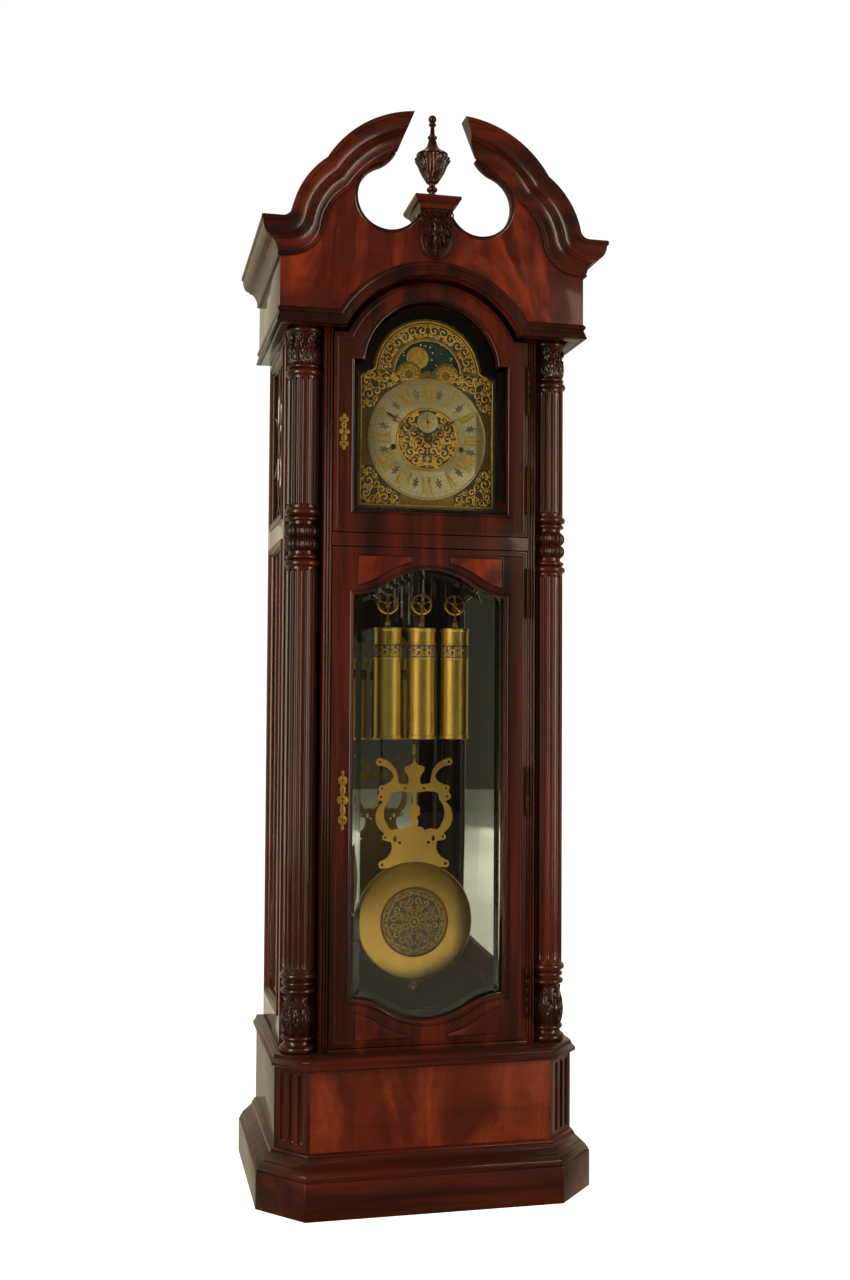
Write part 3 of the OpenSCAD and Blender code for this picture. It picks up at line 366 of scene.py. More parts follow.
def softened(node, finish, width=1.0):
    """A CAD node's own shape with rounded edges, in place of the node."""
    source = frame["nodes"][node]
    bm = bmesh.new()
    bm.from_mesh(source.data)
    bmesh.ops.remove_doubles(bm, verts=bm.verts, dist=1e-6)
    soften_edges(bm, width)
    mesh = bpy.data.meshes.new(node)
    bm.to_mesh(mesh)
    bm.free()
    return place(mesh, node + "_finished", finish, source["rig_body"], [node], SMOOTH_ANGLE)


# ---- materials ----

def linear(code):
    """Linear colour from a hex code."""
    c = [int(code[i:i + 2], 16) / 255 for i in (1, 3, 5)]
    return [x / 12.92 if x <= 0.04045 else ((x + 0.055) / 1.055) ** 2.4 for x in c] + [1.0]


class Nodes:
    """A node tree being built. Inputs are named as their sockets are, with _ for a space."""

    def __init__(self, tree):
        self.tree = tree

    def fill(self, sockets, values):
        """Sets each socket to its value, or links it where the value is another node's output."""
        for socket, value in zip(sockets, values):
            if isinstance(value, bpy.types.NodeSocket):
                self.tree.links.new(value, socket)
            else:
                socket.default_value = value

    def node(self, kind, **inputs):
        n = self.tree.nodes.new(kind)
        self.fill([n.inputs[key.replace("_", " ")] for key in inputs], inputs.values())
        return n

    def operation(self, kind, operation, *values):
        n = self.tree.nodes.new(kind)
        n.operation = operation
        self.fill(n.inputs, values)
        return n

    def math(self, operation, *values):
        return self.operation("ShaderNodeMath", operation, *values).outputs[0]

    def vector(self, operation, *values):
        return self.operation("ShaderNodeVectorMath", operation, *values)

    def shaders(self, fac, a, b):
        """Shader a where fac is 0 and b where it is 1."""
        n = self.tree.nodes.new("ShaderNodeMixShader")
        self.fill(n.inputs, (fac, a, b))
        return n.outputs[0]


class Finish(Nodes):
    """A material being built from nodes."""

    def __init__(self, name, slot, **values):
        self.material = bpy.data.materials.new(name)
        self.material.use_nodes = True
        self.material["slot"] = slot
        super().__init__(self.material.node_tree)
        self.shader = self.tree.nodes["Principled BSDF"]
        for key, value in values.items():
            self.shader.inputs[key.replace("_", " ")].default_value = value
        self.object = self.node("ShaderNodeTexCoord").outputs["Object"]

    def link(self, source, key):
        self.tree.links.new(source, self.shader.inputs[key])

    def mapped(self, scale=(1, 1, 1), source=None):
        return self.node("ShaderNodeMapping", Vector=source or self.object, Scale=scale).outputs[0]

    def noise(self, vector, scale=1.0, detail=4.0, roughness=0.55, distortion=0.0):
        return self.node("ShaderNodeTexNoise", Vector=vector, Scale=scale, Detail=detail,
                         Roughness=roughness, Distortion=distortion).outputs["Fac"]

    def ramp(self, fac, stops):
        n = self.node("ShaderNodeValToRGB", Fac=fac)
        band = n.color_ramp
        while len(band.elements) < len(stops):
            band.elements.new(0.5)
        for element, (at, colour) in zip(band.elements, stops):
            element.position = at
            element.color = linear(colour) if isinstance(colour, str) else (colour, colour, colour, 1)
        return n.outputs["Color"]

    def mix(self, kind, fac, a, b):
        n = self.tree.nodes.new("ShaderNodeMix")
        n.data_type = "RGBA"
        n.blend_type = kind
        self.fill((n.inputs[0], n.inputs[6], n.inputs[7]), (fac, a, b))
        return n.outputs[2]

    def span(self, fac, low, high):
        return self.node("ShaderNodeMapRange", Value=fac, To_Min=low, To_Max=high).outputs[0]

    def bump(self, height, strength, distance=0.3):
        n = self.node("ShaderNodeBump", Height=height, Strength=strength, Distance=distance * MM)
        self.link(n.outputs[0], "Normal")


def wood(name, slot, grain, dark, middle, light, figure=0.0, gloss=0.34, coat=0.42, depth=0.03):
    """Lacquered wood. grain is the axis of its fibres, figure the strength of a flame pattern."""
    m = Finish(name, slot, Coat_Weight=coat, Coat_Roughness=0.08, Specular_IOR_Level=0.2)
    along = {"x": (0.06, 1, 1), "z": (1, 1, 0.06), "y": (1, 0.06, 1)}[grain]
    sway = m.noise(m.mapped(tuple(3 * c for c in along)), 2.2, 3.0, 0.5)
    shift = m.node("ShaderNodeCombineXYZ", X=m.math("MULTIPLY", sway, 0.05),
                   Y=m.math("MULTIPLY", sway, 0.03), Z=m.math("MULTIPLY", sway, 0.05)).outputs[0]
    warped = m.vector("ADD", m.object, shift).outputs[0]
    bands = m.noise(m.mapped(tuple(22 * c for c in along), source=warped), 1.0, 5.0, 0.6)
    fibre = m.noise(m.mapped(tuple(420 * c if c < 1 else 900 * c for c in along)), 1.0, 3.0, 0.7)
    if figure:
        flame = m.noise(m.mapped({"x": (5, 5, 2.2), "z": (5, 5, 2.2), "y": (2, 5, 5)}[grain],
                                 source=warped), 1.3, 5.0, 0.62, 1.6)
        bands = m.node("ShaderNodeMix", Factor=figure, A=bands, B=flame).outputs[0]
    colour = m.ramp(bands, [(0.32, dark), (0.5, middle), (0.68, light)])
    streak = m.ramp(fibre, [(0.35, 0.62), (0.62, 1.0)])
    m.link(m.mix("MULTIPLY", 0.55, colour, streak), "Base Color")
    m.link(m.span(fibre, gloss, gloss + 0.14), "Roughness")
    m.bump(fibre, depth, 0.08)
    return m.material


def metal(name, slot, light, dark, rough=0.15, wear=0.3, scale=40.0, brushed=None, depth=0.05):
    """Lacquered metal with cloudy wear. brushed may be straight or turned, for its fine scratches."""
    m = Finish(name, slot, Metallic=1.0)
    cloud = m.noise(m.mapped(), scale, 5.0, 0.6)
    colour = m.ramp(cloud, [(0.3, dark), (0.65, light)])
    if brushed == "turned":
        from_centre = m.vector("SUBTRACT", m.object, (0, PENDULUM_Y * MM, DISC_Z * MM)).outputs[0]
        lines = m.node("ShaderNodeTexNoise", Scale=1400.0, Detail=2.0)
        lines.noise_dimensions = "1D"
        m.fill([lines.inputs["W"]], [m.vector("LENGTH", from_centre).outputs["Value"]])
        fine = lines.outputs["Fac"]
    elif brushed == "straight":
        fine = m.noise(m.mapped((1200, 900, 12)), 1.0, 2.0)
    else:
        fine = m.noise(m.mapped(), 600.0, 3.0)
    m.link(m.mix("MULTIPLY", 0.25 if brushed else 0.12, colour, m.ramp(fine, [(0.3, 0.6), (0.7, 1.0)])),
           "Base Color")
    m.link(m.span(cloud, rough, rough + wear * 0.4), "Roughness")
    m.bump(fine, depth, 0.05)
    return m.material


def glass_pane(name, slot, tint):
    """Clear pane that lets light through for shadow rays."""
    m = Finish(name, slot, Roughness=0.0, Transmission_Weight=1.0, IOR=1.45)
    smear = m.noise(m.mapped(), 3.0, 2.0)
    m.link(m.ramp(smear, [(0.2, tint), (0.8, "#ffffff")]), "Base Color")
    ray = m.node("ShaderNodeLightPath").outputs["Is Shadow Ray"]
    clear = m.node("ShaderNodeBsdfTransparent").outputs[0]
    surface = m.tree.nodes["Material Output"].inputs["Surface"]
    m.tree.links.new(m.shaders(ray, m.shader.outputs[0], clear), surface)
    return m.material


def night_sky(name, slot):
    """Dark green enamel with small gilt stars."""
    m = Finish(name, slot, Roughness=0.25, Coat_Weight=0.6)
    ground = m.ramp(m.noise(m.mapped(), 30.0), [(0.3, "#04110d"), (0.7, "#0d241c")])
    cells = m.node("ShaderNodeTexVoronoi", Vector=m.mapped((1, 0.001, 1)), Scale=125.0)
    star = m.ramp(cells.outputs["Distance"], [(0.10, 1.0), (0.17, 0.0)])
    m.link(m.mix("MIX", star, ground, linear("#d9c27a")), "Base Color")
    return m.material


def enamel(name, slot, light, dark, rough):
    """Painted or blacked metal, and the near-black sheets of painted shade behind pierced work."""
    m = Finish(name, slot, Coat_Weight=0.4, Coat_Roughness=0.1)
    cloud = m.noise(m.mapped(), 90.0, 4.0)
    m.link(m.ramp(cloud, [(0.3, dark), (0.7, light)]), "Base Color")
    m.link(m.span(cloud, rough, rough + 0.12), "Roughness")
    m.bump(cloud, 0.04, 0.05)
    return m.material


def mirror_glass(name, slot):
    """Silvered glass, a little cloudy."""
    m = Finish(name, slot, Metallic=1.0, Roughness=0.02)
    m.link(m.ramp(m.noise(m.mapped(), 4.0), [(0.2, "#b9bfba"), (0.8, "#cfd4cf")]), "Base Color")
    return m.material


DARK, MIDDLE, LIGHT = "#130401", "#2e0b02", "#4d1805"
CHERRY = wood("cherry_upright", "cherry_wood", "z", DARK, MIDDLE, LIGHT)
CHERRY_X = wood("cherry_across", "cherry_wood", "x", DARK, MIDDLE, LIGHT)
CHERRY_Y = wood("cherry_deep", "cherry_wood", "y", DARK, MIDDLE, LIGHT, coat=0.8)
SIDES = wood("cherry_sides", "cherry_wood", "z", DARK, MIDDLE, LIGHT, coat=1.0, gloss=0.22, depth=0.04)
CARVED = wood("cherry_carved", "carved_cherry", "z", "#0d0301", "#200802", "#3a1104", gloss=0.3, depth=0.15)
FLAME = wood("flame_veneer", "flame_veneer", "x", "#200803", "#4e1907", "#7c3010", figure=0.75)
FLAME_DARK = wood("flame_veneer_dark", "flame_veneer", "x", "#150401", "#3e1004", "#74270b", figure=0.9)
BACKING = wood("back_board", "cherry_wood", "z", "#140805", "#241109", "#341b10", gloss=0.65, coat=0.0)
POLISHED = metal("brass_polished", "polished_brass", "#dcb65a", "#c29a42", 0.14, 0.2)
SATIN = metal("brass_satin", "satin_brass", "#dcb55c", "#c79d48", 0.27, 0.1, scale=12.0, brushed="turned",
              depth=0.1)
LEAF = metal("brass_lyre", "satin_brass", "#e0bb62", "#d0a850", 0.3, 0.1, scale=12.0, depth=0.02)
DRAWN = metal("brass_weights", "polished_brass", "#d2b25c", "#c4a450", 0.27, 0.06, scale=8.0, depth=0.02)
GILT = metal("brass_gilt", "gilt_dial_brass", "#dcb45a", "#ab8634", 0.36, 0.2, scale=160.0, depth=0.15)
GROUND = metal("dial_ground", "gilt_dial_brass", "#8f7845", "#665329", 0.38, 0.3, scale=220.0, depth=0.25)
SILVERED = metal("silvered_ring", "silvered_brass", "#cbc09a", "#b4a982", 0.38, 0.1, scale=260.0, depth=0.1)
WORKS = metal("brass_movement", "movement_brass", "#b98f43", "#80602a", 0.24, 0.4)
BRONZE = metal("hinge_bronze", "polished_brass", "#3c2c15", "#20170b", 0.35, 0.3)
COPPER = metal("copper_ring", "satin_brass", "#9a4a22", "#6e3216", 0.25, 0.2)
STEEL = metal("steel", "steel", "#a9a9a6", "#7d7d7b", 0.2, 0.3, brushed="straight")
BLACK = enamel("black_hands", "black_hands", "#14100d", "#070605", 0.25)
INK = enamel("dial_ink", "black_hands", "#3a3320", "#1e1a10", 0.4)
MARK = enamel("dial_marks", "black_hands", "#4a4326", "#322d19", 0.4)
# Near-black sheet laid behind pierced scrollwork: painted shade in its gaps, not a colour of the brass.
SHADE = enamel("dial_shade", "gilt_dial_brass", "#17130c", "#0a0805", 0.5)
GLASS = glass_pane("clear_glass", "clear_glass", "#f4fbf8")
BEVEL = glass_pane("glass_bevel", "clear_glass", "#a9bcae")
MIRROR = mirror_glass("mirror", "silvered_mirror")
SKY = night_sky("moon_sky", "painted_moon_disc")


# ---- plinth and base ----

CANT_X, CANT_Y = 58.5, 61.5
PLINTH_CANT_X, PLINTH_CANT_Y = 82, 88
MOULDING_Z = PLINTH[1][2]


def canted(half_w, front_y, half_front, cant):
    """Plan outline of a box with canted front corners, from back left round to back right."""
    return np.array([[-half_w, BACK_Y], [-half_w, front_y + cant], [-half_front, front_y],
                     [half_front, front_y], [half_w, front_y + cant], [half_w, BACK_Y]], float)


plinth_plan = canted(PLINTH[1][0], PLINTH[0][1], PLINTH[1][0] - PLINTH_CANT_X, PLINTH_CANT_Y)
base_plan = canted(BASE[1][0], BASE[0][1], BASE[1][0] - CANT_X, CANT_Y)
cap_plan = canted(CAP[1][0], CAP[0][1], BASE[1][0] - CANT_X + 9, CANT_Y)


def plan_moulding(inner, outer, profile, z):
    """Moulding round three sides between two plans. profile is (share outward, height)."""
    return grid([[tuple(inner[i] + (outer[i] - inner[i]) * s) + (z + h,) for s, h in profile]
                 for i in range(len(inner))])


def build_base():
    """Moulding between plinth and base, the top board that is the trunk floor, and the front veneer."""
    h = BASE[0][2] - MOULDING_Z
    profile = [(-0.3, 0), (0.90, 0), (0.93, 0.02 * h), (0.93, 0.10 * h), (0.88, 0.13 * h)]
    profile += bow((0.84, 0.15 * h), (0.62, 0.40 * h), 0.05, 8)
    profile += [(0.56, 0.42 * h), (0.56, 0.46 * h)]
    profile += bow((0.56, 0.46 * h), (0.22, 0.80 * h), -0.075, 9)
    profile += [(0.20, 0.84 * h), (0.14, 0.85 * h)]
    profile += bow((0.14, 0.85 * h), (0.08, 0.97 * h), 0.03, 5)
    profile += [(0.02, h), (-0.3, h)]
    piece("base_moulding_run", [plan_moulding(base_plan, plinth_plan, profile, MOULDING_Z)], CHERRY_X,
          stands_for=["base_moulding"])

    cap_h = CAP[1][2] - CAP[0][2]
    profile = [(-2, 0), (0.3, 0)] + bow((0.3, 0), (1, 5), 0.25, 5) + [(1, 9)]
    profile += bow((0.95, 10.5), (0.25, 18), -0.2, 7)
    profile += [(0.1, 18.5), (0.1, 21), (-0.1, cap_h), (-2, cap_h)]
    ring = plan_moulding(base_plan, cap_plan, profile, CAP[0][2])
    top = [tuple(p) for p in base_plan]
    board = grid([[p + (CAP[0][2] + 2,) for p in top], [p + (CAP[1][2] - 0.4,) for p in top]])
    piece("base_cap_edge", [ring], CHERRY_X, stands_for=["base_cap"])
    piece("case_floor", [board], BACKING)

    low, high = BASE_PANEL
    x, z0, z1 = BASE[1][0] - CANT_X - 1.5, BASE[0][2] + 1, CAP[0][2] - 1
    sheet = plate([[(-x, z0), (x, z0), (x, z1), (-x, z1)]], low[1] - 0.4, high[1], 0.3)
    piece("base_panel_veneer", [sheet], FLAME, stands_for=["base_front_panel"])


def rim(path, y, profile, closed=True):
    """A moulding along a path in X and Z. profile is (distance to the left of the path, height off y)."""
    rows = [offset(path, -d, closed) for d, _ in profile]
    sections = [[(rows[j][i][0], y - profile[j][1], rows[j][i][1]) for j in range(len(profile))]
                for i in range(len(path))]
    return grid(sections, closed=closed)


# ---- case ----

WINDOW_Y = (-25.25, 176.75)
WINDOWS = ((FLOOR_Z + 66, LOWER_DOOR[1][2] + 10), (UPPER_DOOR[0][2] + 45, SHOULDER_Z - 20))


# Nodes that keep their CAD shape, each with its finish and how far its edges are rounded.
CAD_SHAPES = (("plinth", CHERRY_X, 1.5), ("base_box", CHERRY, 1.2), ("side_wall_left", SIDES, 1.0),
              ("side_wall_right", SIDES, 1.0), ("back_panel", BACKING, 0.8), ("back_mirror", MIRROR, 0.6),
              ("front_frame", CHERRY, 0.5), ("frieze_sides", CHERRY_Y, 1.0), ("hood_roof", CHERRY_X, 1.0),
              ("seat_board", CHERRY_X, 1.0))


def window_rim(window, x, profile):
    """A moulding round a side window, on a wall whose face is at x."""
    low, high = window
    path = [(WINDOW_Y[0], low), (WINDOW_Y[1], low), (WINDOW_Y[1], high), (WINDOW_Y[0], high)]
    v, f = rim(path, 0, profile)
    return np.stack([x - v[:, 1], v[:, 0], v[:, 2]], 1), f


def build_case():
    """The plain parts of the case, the side windows and their mouldings."""
    for node, finish, width in CAD_SHAPES:
        softened(node, finish, width)
    profile = [(-13, -1), (-13, 2.2), (-11, 3.6), (-8, 3.6), (-6.5, 2.4), (-5, 2.2), (-3, 3.0), (-1, 2.0),
               (2, -2), (4.5, -5.5), (4.5, -8), (-1, -8), (-1, -1)]
    beads = [window_rim(window, WALL[1][0], profile) for window in WINDOWS]
    piece("side_window_mouldings", both(beads), CHERRY)
    frame["nodes"]["side_glass"].data.materials[0] = GLASS
    build_fretwork()


def build_fretwork():
    """Lattice of crossing arcs in the upper side windows, with rounded bars."""
    low, high = WINDOWS[1]
    w, h = WINDOW_Y[1] - WINDOW_Y[0], high - low
    border, bar_r, x = 9, 3.2, WALL[1][0] - 9 + 2.6
    break_gap, fewest = 20, 3
    parts = []
    for cy in (0, w):
        for cz in (0.32 * h, 0.68 * h):
            run = [p for p in arc((cy, cz), 0.62 * w - 3, 0, 360, 150)
                   if border - 1 < p[0] < w - border + 1 and border - 1 < p[1] < h - border + 1]
            breaks = [i + 1 for i in range(len(run) - 1) if np.hypot(*(run[i + 1] - run[i])) > break_gap]
            for a, b in zip([0] + breaks, breaks + [len(run)]):
                if b - a > fewest:
                    path = [(x, WINDOW_Y[0] + p[0], low + p[1]) for p in run[a:b]]
                    parts.append(tube(path, bar_r, 8, 0.8, across=(1, 0, 0)))
    parts.append(window_rim(WINDOWS[1], x, [(0.3, -2.4), (0.3, 2.4), (border - 2, 2.4), (border, 0.6),
                                            (border, -2.4)]))
    piece("side_lattice", both(parts), CARVED, stands_for=["side_fretwork"])


# ---- carving ----

def leaf(width, length, lobes=4, depth=4.0, curl=0.0, nu=17, nv=34, thick=2.2):
    """Front and back grids of an acanthus leaf as (across, along, height off the ground)."""
    front_rows, back_rows = [], []
    for j in range(nv):
        v = j / (nv - 1)
        envelope = math.sin(math.pi * min(0.12 + 0.80 * v ** 0.85, 1)) ** 0.6 * (1 - 0.25 * v)
        saw = (v * lobes) % 1
        half = 0.5 * width * envelope * (0.72 + 0.28 * math.sin(math.pi * saw) ** 0.6)
        half *= 1 if v < 0.97 else 0.5
        row_f, row_b = [], []
        for i in range(nu):
            u = 2 * i / (nu - 1) - 1
            vein = 0.5 + 0.5 * math.cos(TAU * (v * lobes + 1.3 * abs(u) ** 1.2 - 0.5))
            rib = math.exp(-(u / 0.13) ** 2)
            veins = 0.28 * vein * (1 - abs(u) ** 6) * min(1, 3 * abs(u))
            groove = 0.22 * math.exp(-((abs(u) - 0.24) / 0.1) ** 2)
            height = depth * (0.35 + 0.35 * (1 - abs(u) ** 2.2) + veins + 0.38 * rib - groove)
            lift = curl * max(0, v - 0.6) ** 2 * 6.2
            drop = depth * 0.35 * abs(u) ** 4
            x = half * u
            row_f.append((x, v * length - lift * 0.35, height + lift - drop))
            row_b.append((x * 0.96, v * length - lift * 0.35, height + lift - drop - thick))
        front_rows.append(row_f)
        back_rows.append(row_b)
    return np.array(front_rows), np.array(back_rows)


def wrapped_leaves(count, ground, z0, direction, width, length, turn=0.0, **shape):
    """Leaves standing round a turned body whose radius at height z is ground(z)."""
    parts = []
    f, b = leaf(width, length, **shape)
    for k in range(count):
        a0 = TAU * k / count + turn
        grids = []
        for g in (f, b):
            z = z0 + direction * g[..., 1]
            r = np.vectorize(ground)(z) + g[..., 2]
            a = a0 + g[..., 0] / np.maximum(np.vectorize(ground)(z), 6)
            grids.append(np.stack([r * np.cos(a), r * np.sin(a), z], -1))
        parts.append(shell(*grids))
    return parts


def volute(at, r0, turns, start, hand=1, radius=2.2, flat=1.0, n=26, tail=0.25):
    """A spiral scroll that tightens to an eye at its centre."""
    pts, rad = [], []
    for i in range(n):
        t = i / (n - 1)
        r = r0 * (1 - t) ** 0.85 + 0.14 * r0
        a = start + hand * TAU * turns * t
        pts.append((at[0] + r * math.cos(a), at[1], at[2] + r * math.sin(a)))
        rad.append(radius * (tail + (1 - tail) * min(1, 2.2 * t)) * (1 if t < 0.9 else 1.25))
    return tube(pts, rad, 6, flat)


# ---- columns ----

SHAFT_R, RING_OUT = 30.5, 5.0
FLUTES, FLUTE_HALF = 16, 4.6
COLUMN_SIDES = 72
LOWER_SHAFT = (FLOOR_Z + 152, LOWER_DOOR[1][2] - 39)
UPPER_SHAFT = (LOWER_SHAFT[1] + 113, SHOULDER_Z - 86)


def ring_profile(a, b, out=RING_OUT):
    """A half-round ring between heights a and b."""
    c, h = (a + b) / 2, (b - a) / 2
    base = SHAFT_R + out - h * 0.8
    return [(base + 0.8 * h * math.sin(t), c - h * math.cos(t)) for t in np.linspace(0.1, math.pi - 0.1, 9)]


def fluted(a, b):
    """Shaft between heights a and b with round-ended flutes."""
    steps = [0, 2.5, 5] + [5 + FLUTE_HALF * (1 - math.cos(t)) for t in np.linspace(0.3, math.pi / 2, 5)]
    heights = [a + s for s in steps] + list(np.linspace(a + 30, b - 30, 5)) + [b - s for s in reversed(steps)]
    half = FLUTE_HALF

    def carve(angle, z, r):
        inset = min(z - a - 5, b - 5 - z)
        if inset <= 0:
            return r
        reach = half if inset >= half else math.sqrt(max(0, half ** 2 - (half - inset) ** 2))
        x = ((angle * FLUTES / TAU) % 1 - 0.5) * TAU * r / FLUTES
        if abs(x) >= reach:
            return r
        return r - 0.95 * math.sqrt(reach ** 2 - x ** 2)
    return lathe([(SHAFT_R, z) for z in heights], 14 * FLUTES, shape=carve)


def gadroon(count, depth, skew=0.0):
    """Carve function for rows of rounded lobes."""
    return lambda a, z, r: r - depth * (1 - abs(math.sin(count * a / 2 + skew * z)))


def build_columns():
    """Two fluted corner columns with turned rings and carved leaves. Heights run from the trunk floor up."""
    a, b = FLOOR_Z, LOWER_SHAFT[0]
    foot = [(0.1, a), (SHAFT_R, a)] + ring_profile(a, a + 13) + [(29, a + 15), (27, a + 19), (27, a + 22)]
    foot += ring_profile(a + 23, a + 31, 1.5)
    foot += [(26.5, a + 33)] + bow((26.5, a + 34), (24, a + 106), 4, 12)
    foot += [(25, a + 109), (29, a + 112)] + ring_profile(a + 112, a + 121, 3)
    foot += [(27, a + 123), (27, a + 126)] + ring_profile(a + 127, a + 134, 1.5)
    foot += [(28, a + 136)] + ring_profile(b - 13, b - 1) + [(SHAFT_R, b), (SHAFT_R, b + 1)]
    c, d = LOWER_SHAFT[1], UPPER_SHAFT[0]
    collar_low = [(SHAFT_R, c - 1)] + ring_profile(c, c + 12) + [(28, c + 14)]
    collar_low += ring_profile(c + 15, c + 22, 2) + [(26, c + 24), (26, c + 30)]
    lobe = [(26, 30), (29, 32), (33.5, 37), (34.8, 43), (33.8, 49), (30, 54), (27, 56)]
    lobes = lobe + [(r, 2 * lobe[-1][1] - h) for r, h in reversed(lobe[:-1])]
    bulge = [(r, c + h) for r, h in lobes]
    collar_high = [(26, c + 82), (26, c + 88)] + ring_profile(c + 89, c + 96, 2)
    collar_high += [(28, c + 98)] + ring_profile(d - 13, d - 1) + [(SHAFT_R, d + 1)]
    e, top = UPPER_SHAFT[1], FRIEZE_Z
    head = [(SHAFT_R, e - 1)] + ring_profile(e, e + 12) + [(28, e + 14)] + ring_profile(e + 15, e + 21, 1.5)
    head += [(25, e + 23), (25.5, e + 30)] + bow((25.5, e + 30), (24, e + 62), 3, 7)
    head += bow((24, e + 62), (32, top - 12), -3, 6)
    head += ring_profile(top - 10, top, 5) + [(29, top + 0.2), (29, COLUMN[1][2]), (0.1, COLUMN[1][2])]

    def bulb(z):
        t = min(max((z - (FLOOR_Z + 34)) / 72, 0), 1)
        return 23.5 + 6.5 * math.sin(math.pi * min(1, 1.15 * t + 0.05)) ** 0.8

    def vase(z):
        t = min(max((z - (e + 22)) / (top - 12 - e - 22), 0), 1)
        return 25 + 3.5 * math.sin(math.pi * min(t * 1.6, 1)) + 5 * max(0, t - 0.55)

    for side, name in ((-1, "left"), (1, "right")):
        at = (side * COLUMN_X, COLUMN_Y, 0)
        sections = [lathe(foot, COLUMN_SIDES), fluted(b, c), lathe(collar_low, COLUMN_SIDES),
                    lathe(collar_high, COLUMN_SIDES), fluted(d, e), lathe(head, COLUMN_SIDES)]
        turned = [moved(p, at) for p in sections]
        piece("column_%s_turned" % name, turned, CHERRY, stands_for=["column_" + name], smooth=42)
        carved = [lathe(bulge, 18 * 12, shape=gadroon(18, 2.6))]
        carved += wrapped_leaves(6, bulb, FLOOR_Z + 33, 1, 32, 74, lobes=3, depth=4.4, curl=1.6)
        carved += wrapped_leaves(6, bulb, FLOOR_Z + 33, 1, 24, 50, math.pi / 6, lobes=2, depth=4.0)
        carved += wrapped_leaves(6, vase, e + 22, 1, 30, 62, lobes=3, depth=4.0, curl=2.6)
        carved += wrapped_leaves(6, vase, e + 22, 1, 24, 38, math.pi / 6, lobes=2, depth=4.6, curl=2.0)
        for k in range(8):
            turn = Matrix.Rotation(TAU * (k + 0.5) / 8, 3, "Z")
            v, f = volute((0, 0, top - 20), 7, 1.3, math.pi * 0.6, -1, 2.4, 0.8)
            v = np.array([turn @ Vector((31.0 + p[1] * 0.8, p[0], p[2])) for p in v])
            carved.append((v, f))
        piece("column_%s_carving" % name, [moved(p, at) for p in carved], CARVED, smooth=50)


# ---- hood ----

CROWN_OUT = CROWN[1][0] - FRIEZE_HALF
CROWN_H = 67
HOLE_X, HOLE_R = 91.5, 63
HOLE_Z = CROWN_Z + 131
HALF_CROWN = CROWN[1][0]


def scroll_lines():
    """Top and bottom edges of the right-hand scroll, point for point, and its corner."""
    a, b, c, d = (51, CROWN_Z + 290), (220, CROWN_Z + 185), (287, CROWN_Z + 79), (304, CROWN_Z + CROWN_H)
    top = [np.array(a, float)] + bow(a, b, -24, 26) + bow(b, c, -12, 18) + bow(c, d, 3, 5)
    top.append(np.array([HALF_CROWN, CROWN_Z + CROWN_H]))
    a, b, c = (78, CROWN_Z + 222), (170, CROWN_Z + 142), (219, CROWN_Z + 75)
    d = (FRIEZE_HALF - 24, CROWN_Z + 3)
    low = [np.array(a, float)] + bow(a, b, -9, 26) + bow(b, c, -8, 18) + bow(c, d, 17, 5)
    low.append(np.array([FRIEZE_HALF, CROWN_Z]))
    return top, low


def crown_profile():
    """(share outward, share upward) round the crown moulding, from the inner lower edge."""
    p = [(0, 0), (0.10, 0), (0.14, 0.02), (0.15, 0.05), (0.14, 0.08), (0.11, 0.095), (0.14, 0.12)]
    p += bow((0.14, 0.12), (0.54, 0.44), -0.09, 14)
    p += [(0.57, 0.45), (0.57, 0.485), (0.62, 0.495)]
    p += bow((0.62, 0.495), (0.92, 0.84), 0.09, 14)
    p += [(0.95, 0.85), (1.0, 0.87), (1.0, 0.95), (0.98, 0.985), (0.95, 1), (0, 1)]
    return p


def build_crown():
    """Swan-neck scroll with its return along the side, made once and mirrored."""
    top, low = scroll_lines()
    profile = crown_profile()
    sections = []
    for t, b in zip(top[:-1], low[:-1]):
        sections.append([(b[0] + (t[0] - b[0]) * h, FRIEZE_Y - s * CROWN_OUT, b[1] + (t[1] - b[1]) * h)
                         for s, h in profile])
    for y in (None, BACK_Y):
        sections.append([(FRIEZE_HALF + s * CROWN_OUT, FRIEZE_Y - s * CROWN_OUT if y is None else y,
                          CROWN_Z + h * CROWN_H) for s, h in profile])
    half = grid(sections)
    piece("crown_right_moulding", [half], CHERRY_X, stands_for=["crown_right"], smooth=30)
    piece("crown_left_moulding", [flipped(half)], CHERRY_X, stands_for=["crown_left"], smooth=30)


def build_frieze():
    """Veneered board behind the scrolls, with an arch below and two round openings above."""
    top, low = scroll_lines()
    inner = [b + (t - b) * 0.3 for t, b in zip(reversed(top[:-1]), reversed(low[:-1]))]
    right = [(FRIEZE_HALF, FRIEZE_Z), (FRIEZE_HALF, CROWN_Z + 20)]
    right += [(min(p[0], FRIEZE_HALF - 1), p[1]) for p in inner if p[0] > 86]
    ends = arc((HOLE_X, HOLE_Z), HOLE_R, 72, -154, 60)
    hole = [(80, CROWN_Z + 219)] + bow((80, CROWN_Z + 219), ends[0], 3, 6) + ends[1:]
    right += hole
    right += [(34, CROWN_Z + 92)]
    arch = [p for p in arc((0, ARCH_Z), ARCH_R + ARCH_GAP, 180, 0, 72) if p[1] > FRIEZE_Z]
    outline = both_halves(right) + [np.array([-FRIEZE_HALF, FRIEZE_Z])]
    edge_x = math.sqrt((ARCH_R + ARCH_GAP) ** 2 - (FRIEZE_Z - ARCH_Z) ** 2)
    outline = outline[:-1] + [np.array([-edge_x, FRIEZE_Z])] + arch + [np.array([edge_x, FRIEZE_Z])]
    board = plate([outline], FRIEZE_Y, FRIEZE[1][1], 0.5)
    piece("frieze_veneer", [board], FLAME_DARK, stands_for=["frieze_board"])
    lip = [(0, -16), (0, 0.2), (0.6, 1.4), (2.0, 2.0), (5.4, 1.6), (6.8, 0.4), (6.8, -0.4)]
    piece("scroll_opening_rims", both([rim(hole, FRIEZE_Y, lip, closed=False)]), CARVED)


